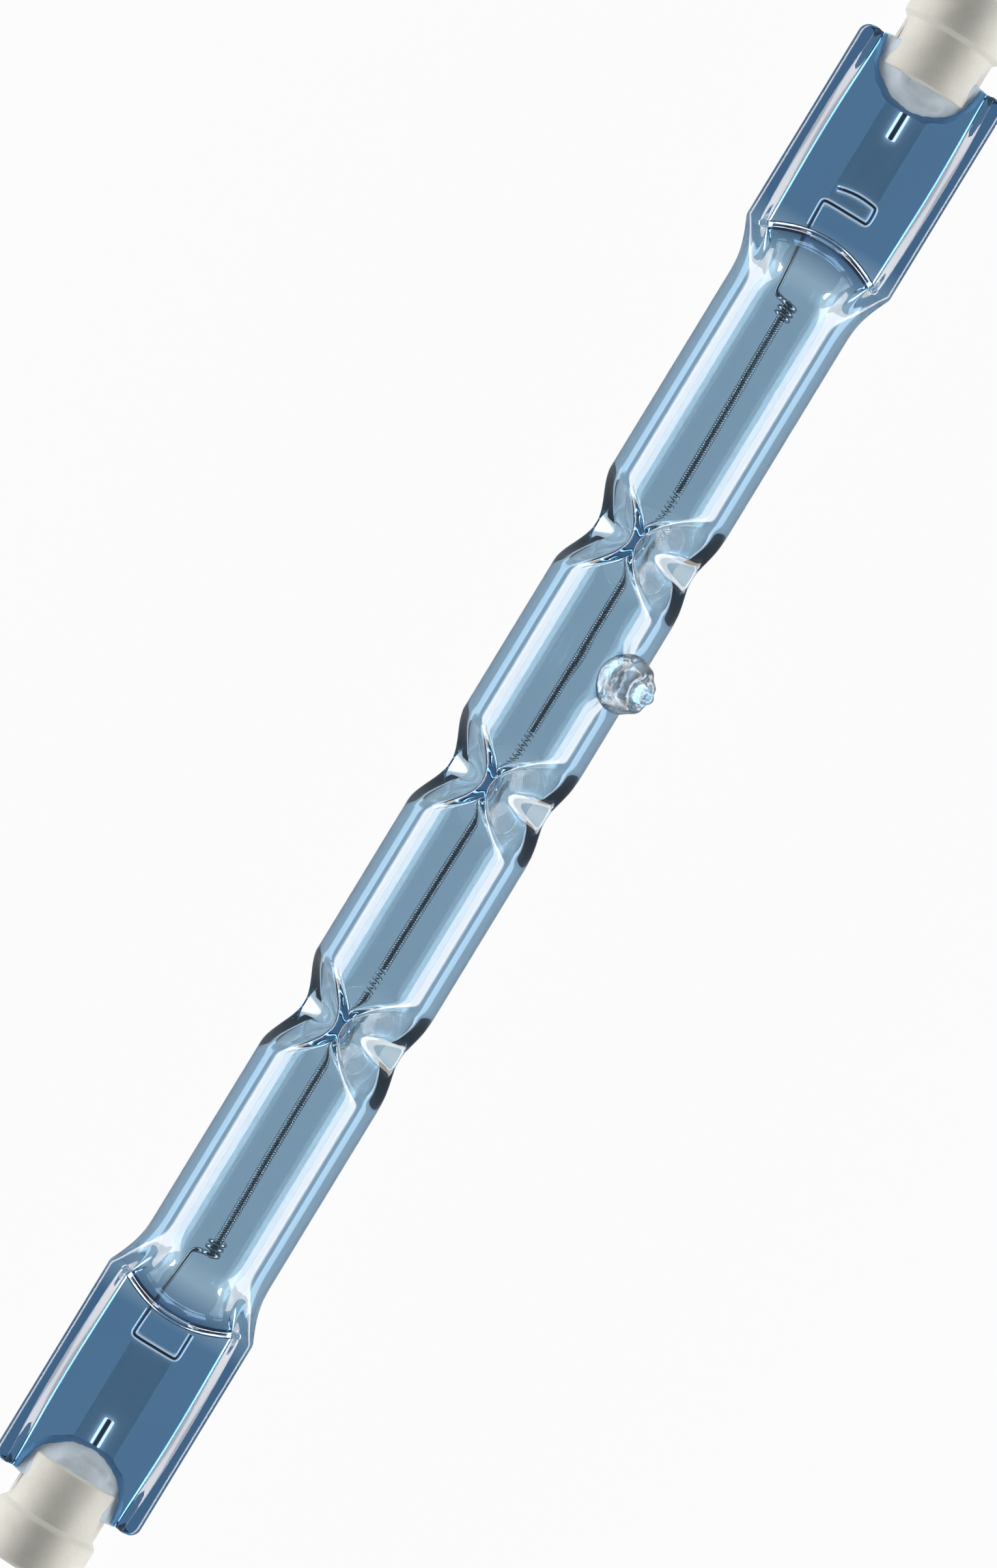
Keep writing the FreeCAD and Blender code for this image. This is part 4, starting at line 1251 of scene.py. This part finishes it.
floor_finish = Finish("floor")
rays = "ShaderNodeLightPath"
seen = floor_finish.node(rays, output="Is Camera Ray")
refracted = floor_finish.node(rays, output="Is Transmission Ray")
paper = floor_finish.node("ShaderNodeBsdfDiffuse", {}, {"Color": PAPER})
glow = floor_finish.node("ShaderNodeEmission", {}, {"Color": FULL_WHITE, "Strength": 1.0})
share = (seen + refracted).held() * FLOOR_GLOW
FLOOR = floor_finish.show(floor_finish.node("ShaderNodeMixShader", {}, {0: share, 1: paper, 2: glow}))

ground = bmesh.new()
bmesh.ops.create_grid(ground, x_segments=1, y_segments=1, size=FLOOR_HALF)
bmesh.ops.translate(ground, vec=(0, 0, FLOOR_LEVEL), verts=ground.verts)
floor = object_from(ground, "floor")
floor.data.materials.append(FLOOR)
print("floor", 2 * FLOOR_HALF, "m across")

# %% [markdown]
# The room is dark overhead, where the camera stands, and bright low down. Beyond the lamp's ends
# it is a little darker than along both sides. That is why the coil and the wires look black in
# the middle and light along their flanks. The camera itself sees plain white behind the floor.

# %% World
ZENITH_LIGHT = 0.06
HORIZON_LIGHT = 0.9
OVERHEAD_RANGE = (0.2, 0.55)
END_SHADE = 0.8
END_RANGE = (0.45, 0.85)


class Sky(Finish):
    """The world's light, by direction."""

    def change(self, amount, limits, first, last):
        """A smooth change from the first value to the last between two limits."""
        sockets = {"Value": amount, "From Min": limits[0], "From Max": limits[1]}
        sockets.update({"To Min": first, "To Max": last})
        return self.node("ShaderNodeMapRange", {"interpolation_type": "SMOOTHSTEP"}, sockets)

    def light(self, strength):
        return self.node("ShaderNodeBackground", {}, {"Color": FULL_WHITE, "Strength": strength})


sky = Sky("studio", "worlds", "ShaderNodeOutputWorld")
direction = sky.node("ShaderNodeTexCoord", output="Generated")
upward = sky.node("ShaderNodeSeparateXYZ", {}, {"Vector": direction}, output="Z")
endwise = sky.node("ShaderNodeSeparateXYZ", {}, {"Vector": direction}, output="X").maths("ABSOLUTE")
overhead = sky.change(upward, OVERHEAD_RANGE, HORIZON_LIGHT, ZENITH_LIGHT)
shade = sky.change(endwise, END_RANGE, 1.0, END_SHADE)
behind = sky.node("ShaderNodeLightPath", output="Is Camera Ray")
sockets = {0: behind, 1: sky.light(overhead * shade), 2: sky.light(1.0)}
scene.world = sky.show(sky.node("ShaderNodeMixShader", {}, sockets))
print("world made with", len(sky.tree.nodes), "nodes")

# %% [markdown]
# Softboxes stand along both sides of the lamp. Brighter strips, a little higher and at both ends,
# don't light matte surfaces, so they draw the white bands on the glass and leave the pale ceramic
# alone. Two low strips beside the lamp shine up into the walls of the tube, and show in the glass
# alone.

# %% Lamps
WHITE, WARM = (1.0, 1.0, 1.0), (1.0, 0.84, 0.70)
LENGTHWISE, CROSSWISE = Vector((1, 0, 0)), Vector((0, 1, 0))
SOFTBOX = dict(width=0.28, length=1.2, radiance=6.2, seen_in=("matte", "shiny"))
SOFTBOX_PLACE = dict(angle=86, distance=0.6)
STRIP = dict(width=0.315, length=1.6, radiance=8.2, seen_in=("shiny",), tint=WARM)
STRIP_PLACE = dict(angle=73.2, distance=0.62)
END_STRIP = dict(width=0.105, length=0.6, radiance=18.0, seen_in=("shiny",))
END_STRIP_PLACE = dict(angle=83.5, distance=0.6)
LOW_STRIP = dict(width=0.005, length=0.076, radiance=0.9, seen_in=())
LOW_STRIP_ASIDE = 0.0102
LOW_STRIP_HEIGHT = 0.0002


def soft_light(name, middle, facing, long_way, width, length, radiance, seen_in, tint=WHITE):
    """A rectangle of light, and the kinds of surface that it shows in, matte or shiny."""
    data = bpy.data.lights.new(name, "AREA")
    data.shape = "RECTANGLE"
    data.size = width
    data.size_y = length
    data.energy = radiance * math.pi * width * length
    data.color = tint
    lamp = bpy.data.objects.new(name, data)
    back = -Vector(facing).normalized()
    turn = Matrix((long_way.cross(back), long_way, back)).transposed()
    lamp.matrix_world = Matrix.Translation(middle) @ turn.to_4x4()
    lamp.visible_camera = False
    lamp.visible_diffuse = "matte" in seen_in
    lamp.visible_glossy = "shiny" in seen_in
    scene.collection.objects.link(lamp)


def high_light(name, sideways, long_way, angle, distance, **kind):
    """A light that faces the lamp, at an angle from straight up towards a side."""
    angle = math.radians(angle)
    place = (Vector((0, 0, math.cos(angle))) + sideways * math.sin(angle)) * distance
    soft_light(name, place, -place, long_way, **kind)


for word, sign in (("upper", 1), ("lower", -1)):
    side, end = CROSSWISE * sign, LENGTHWISE * sign
    high_light(word + "_softbox", side, LENGTHWISE, **SOFTBOX_PLACE, **SOFTBOX)
    high_light(word + "_strip", side, LENGTHWISE, **STRIP_PLACE, **STRIP)
    high_light(word + "_end_strip", end, CROSSWISE, **END_STRIP_PLACE, **END_STRIP)
    low = Vector((0, LOW_STRIP_ASIDE * sign, FLOOR_LEVEL + LOW_STRIP_HEIGHT))
    soft_light(word + "_low_strip", low, (0, 0, 1), LENGTHWISE, **LOW_STRIP)

# %% [markdown]
# ## Colour
#
# The picture is shown as plainly as Blender can, so that a colour looks as it was written.

scene.view_settings.view_transform = "Standard"
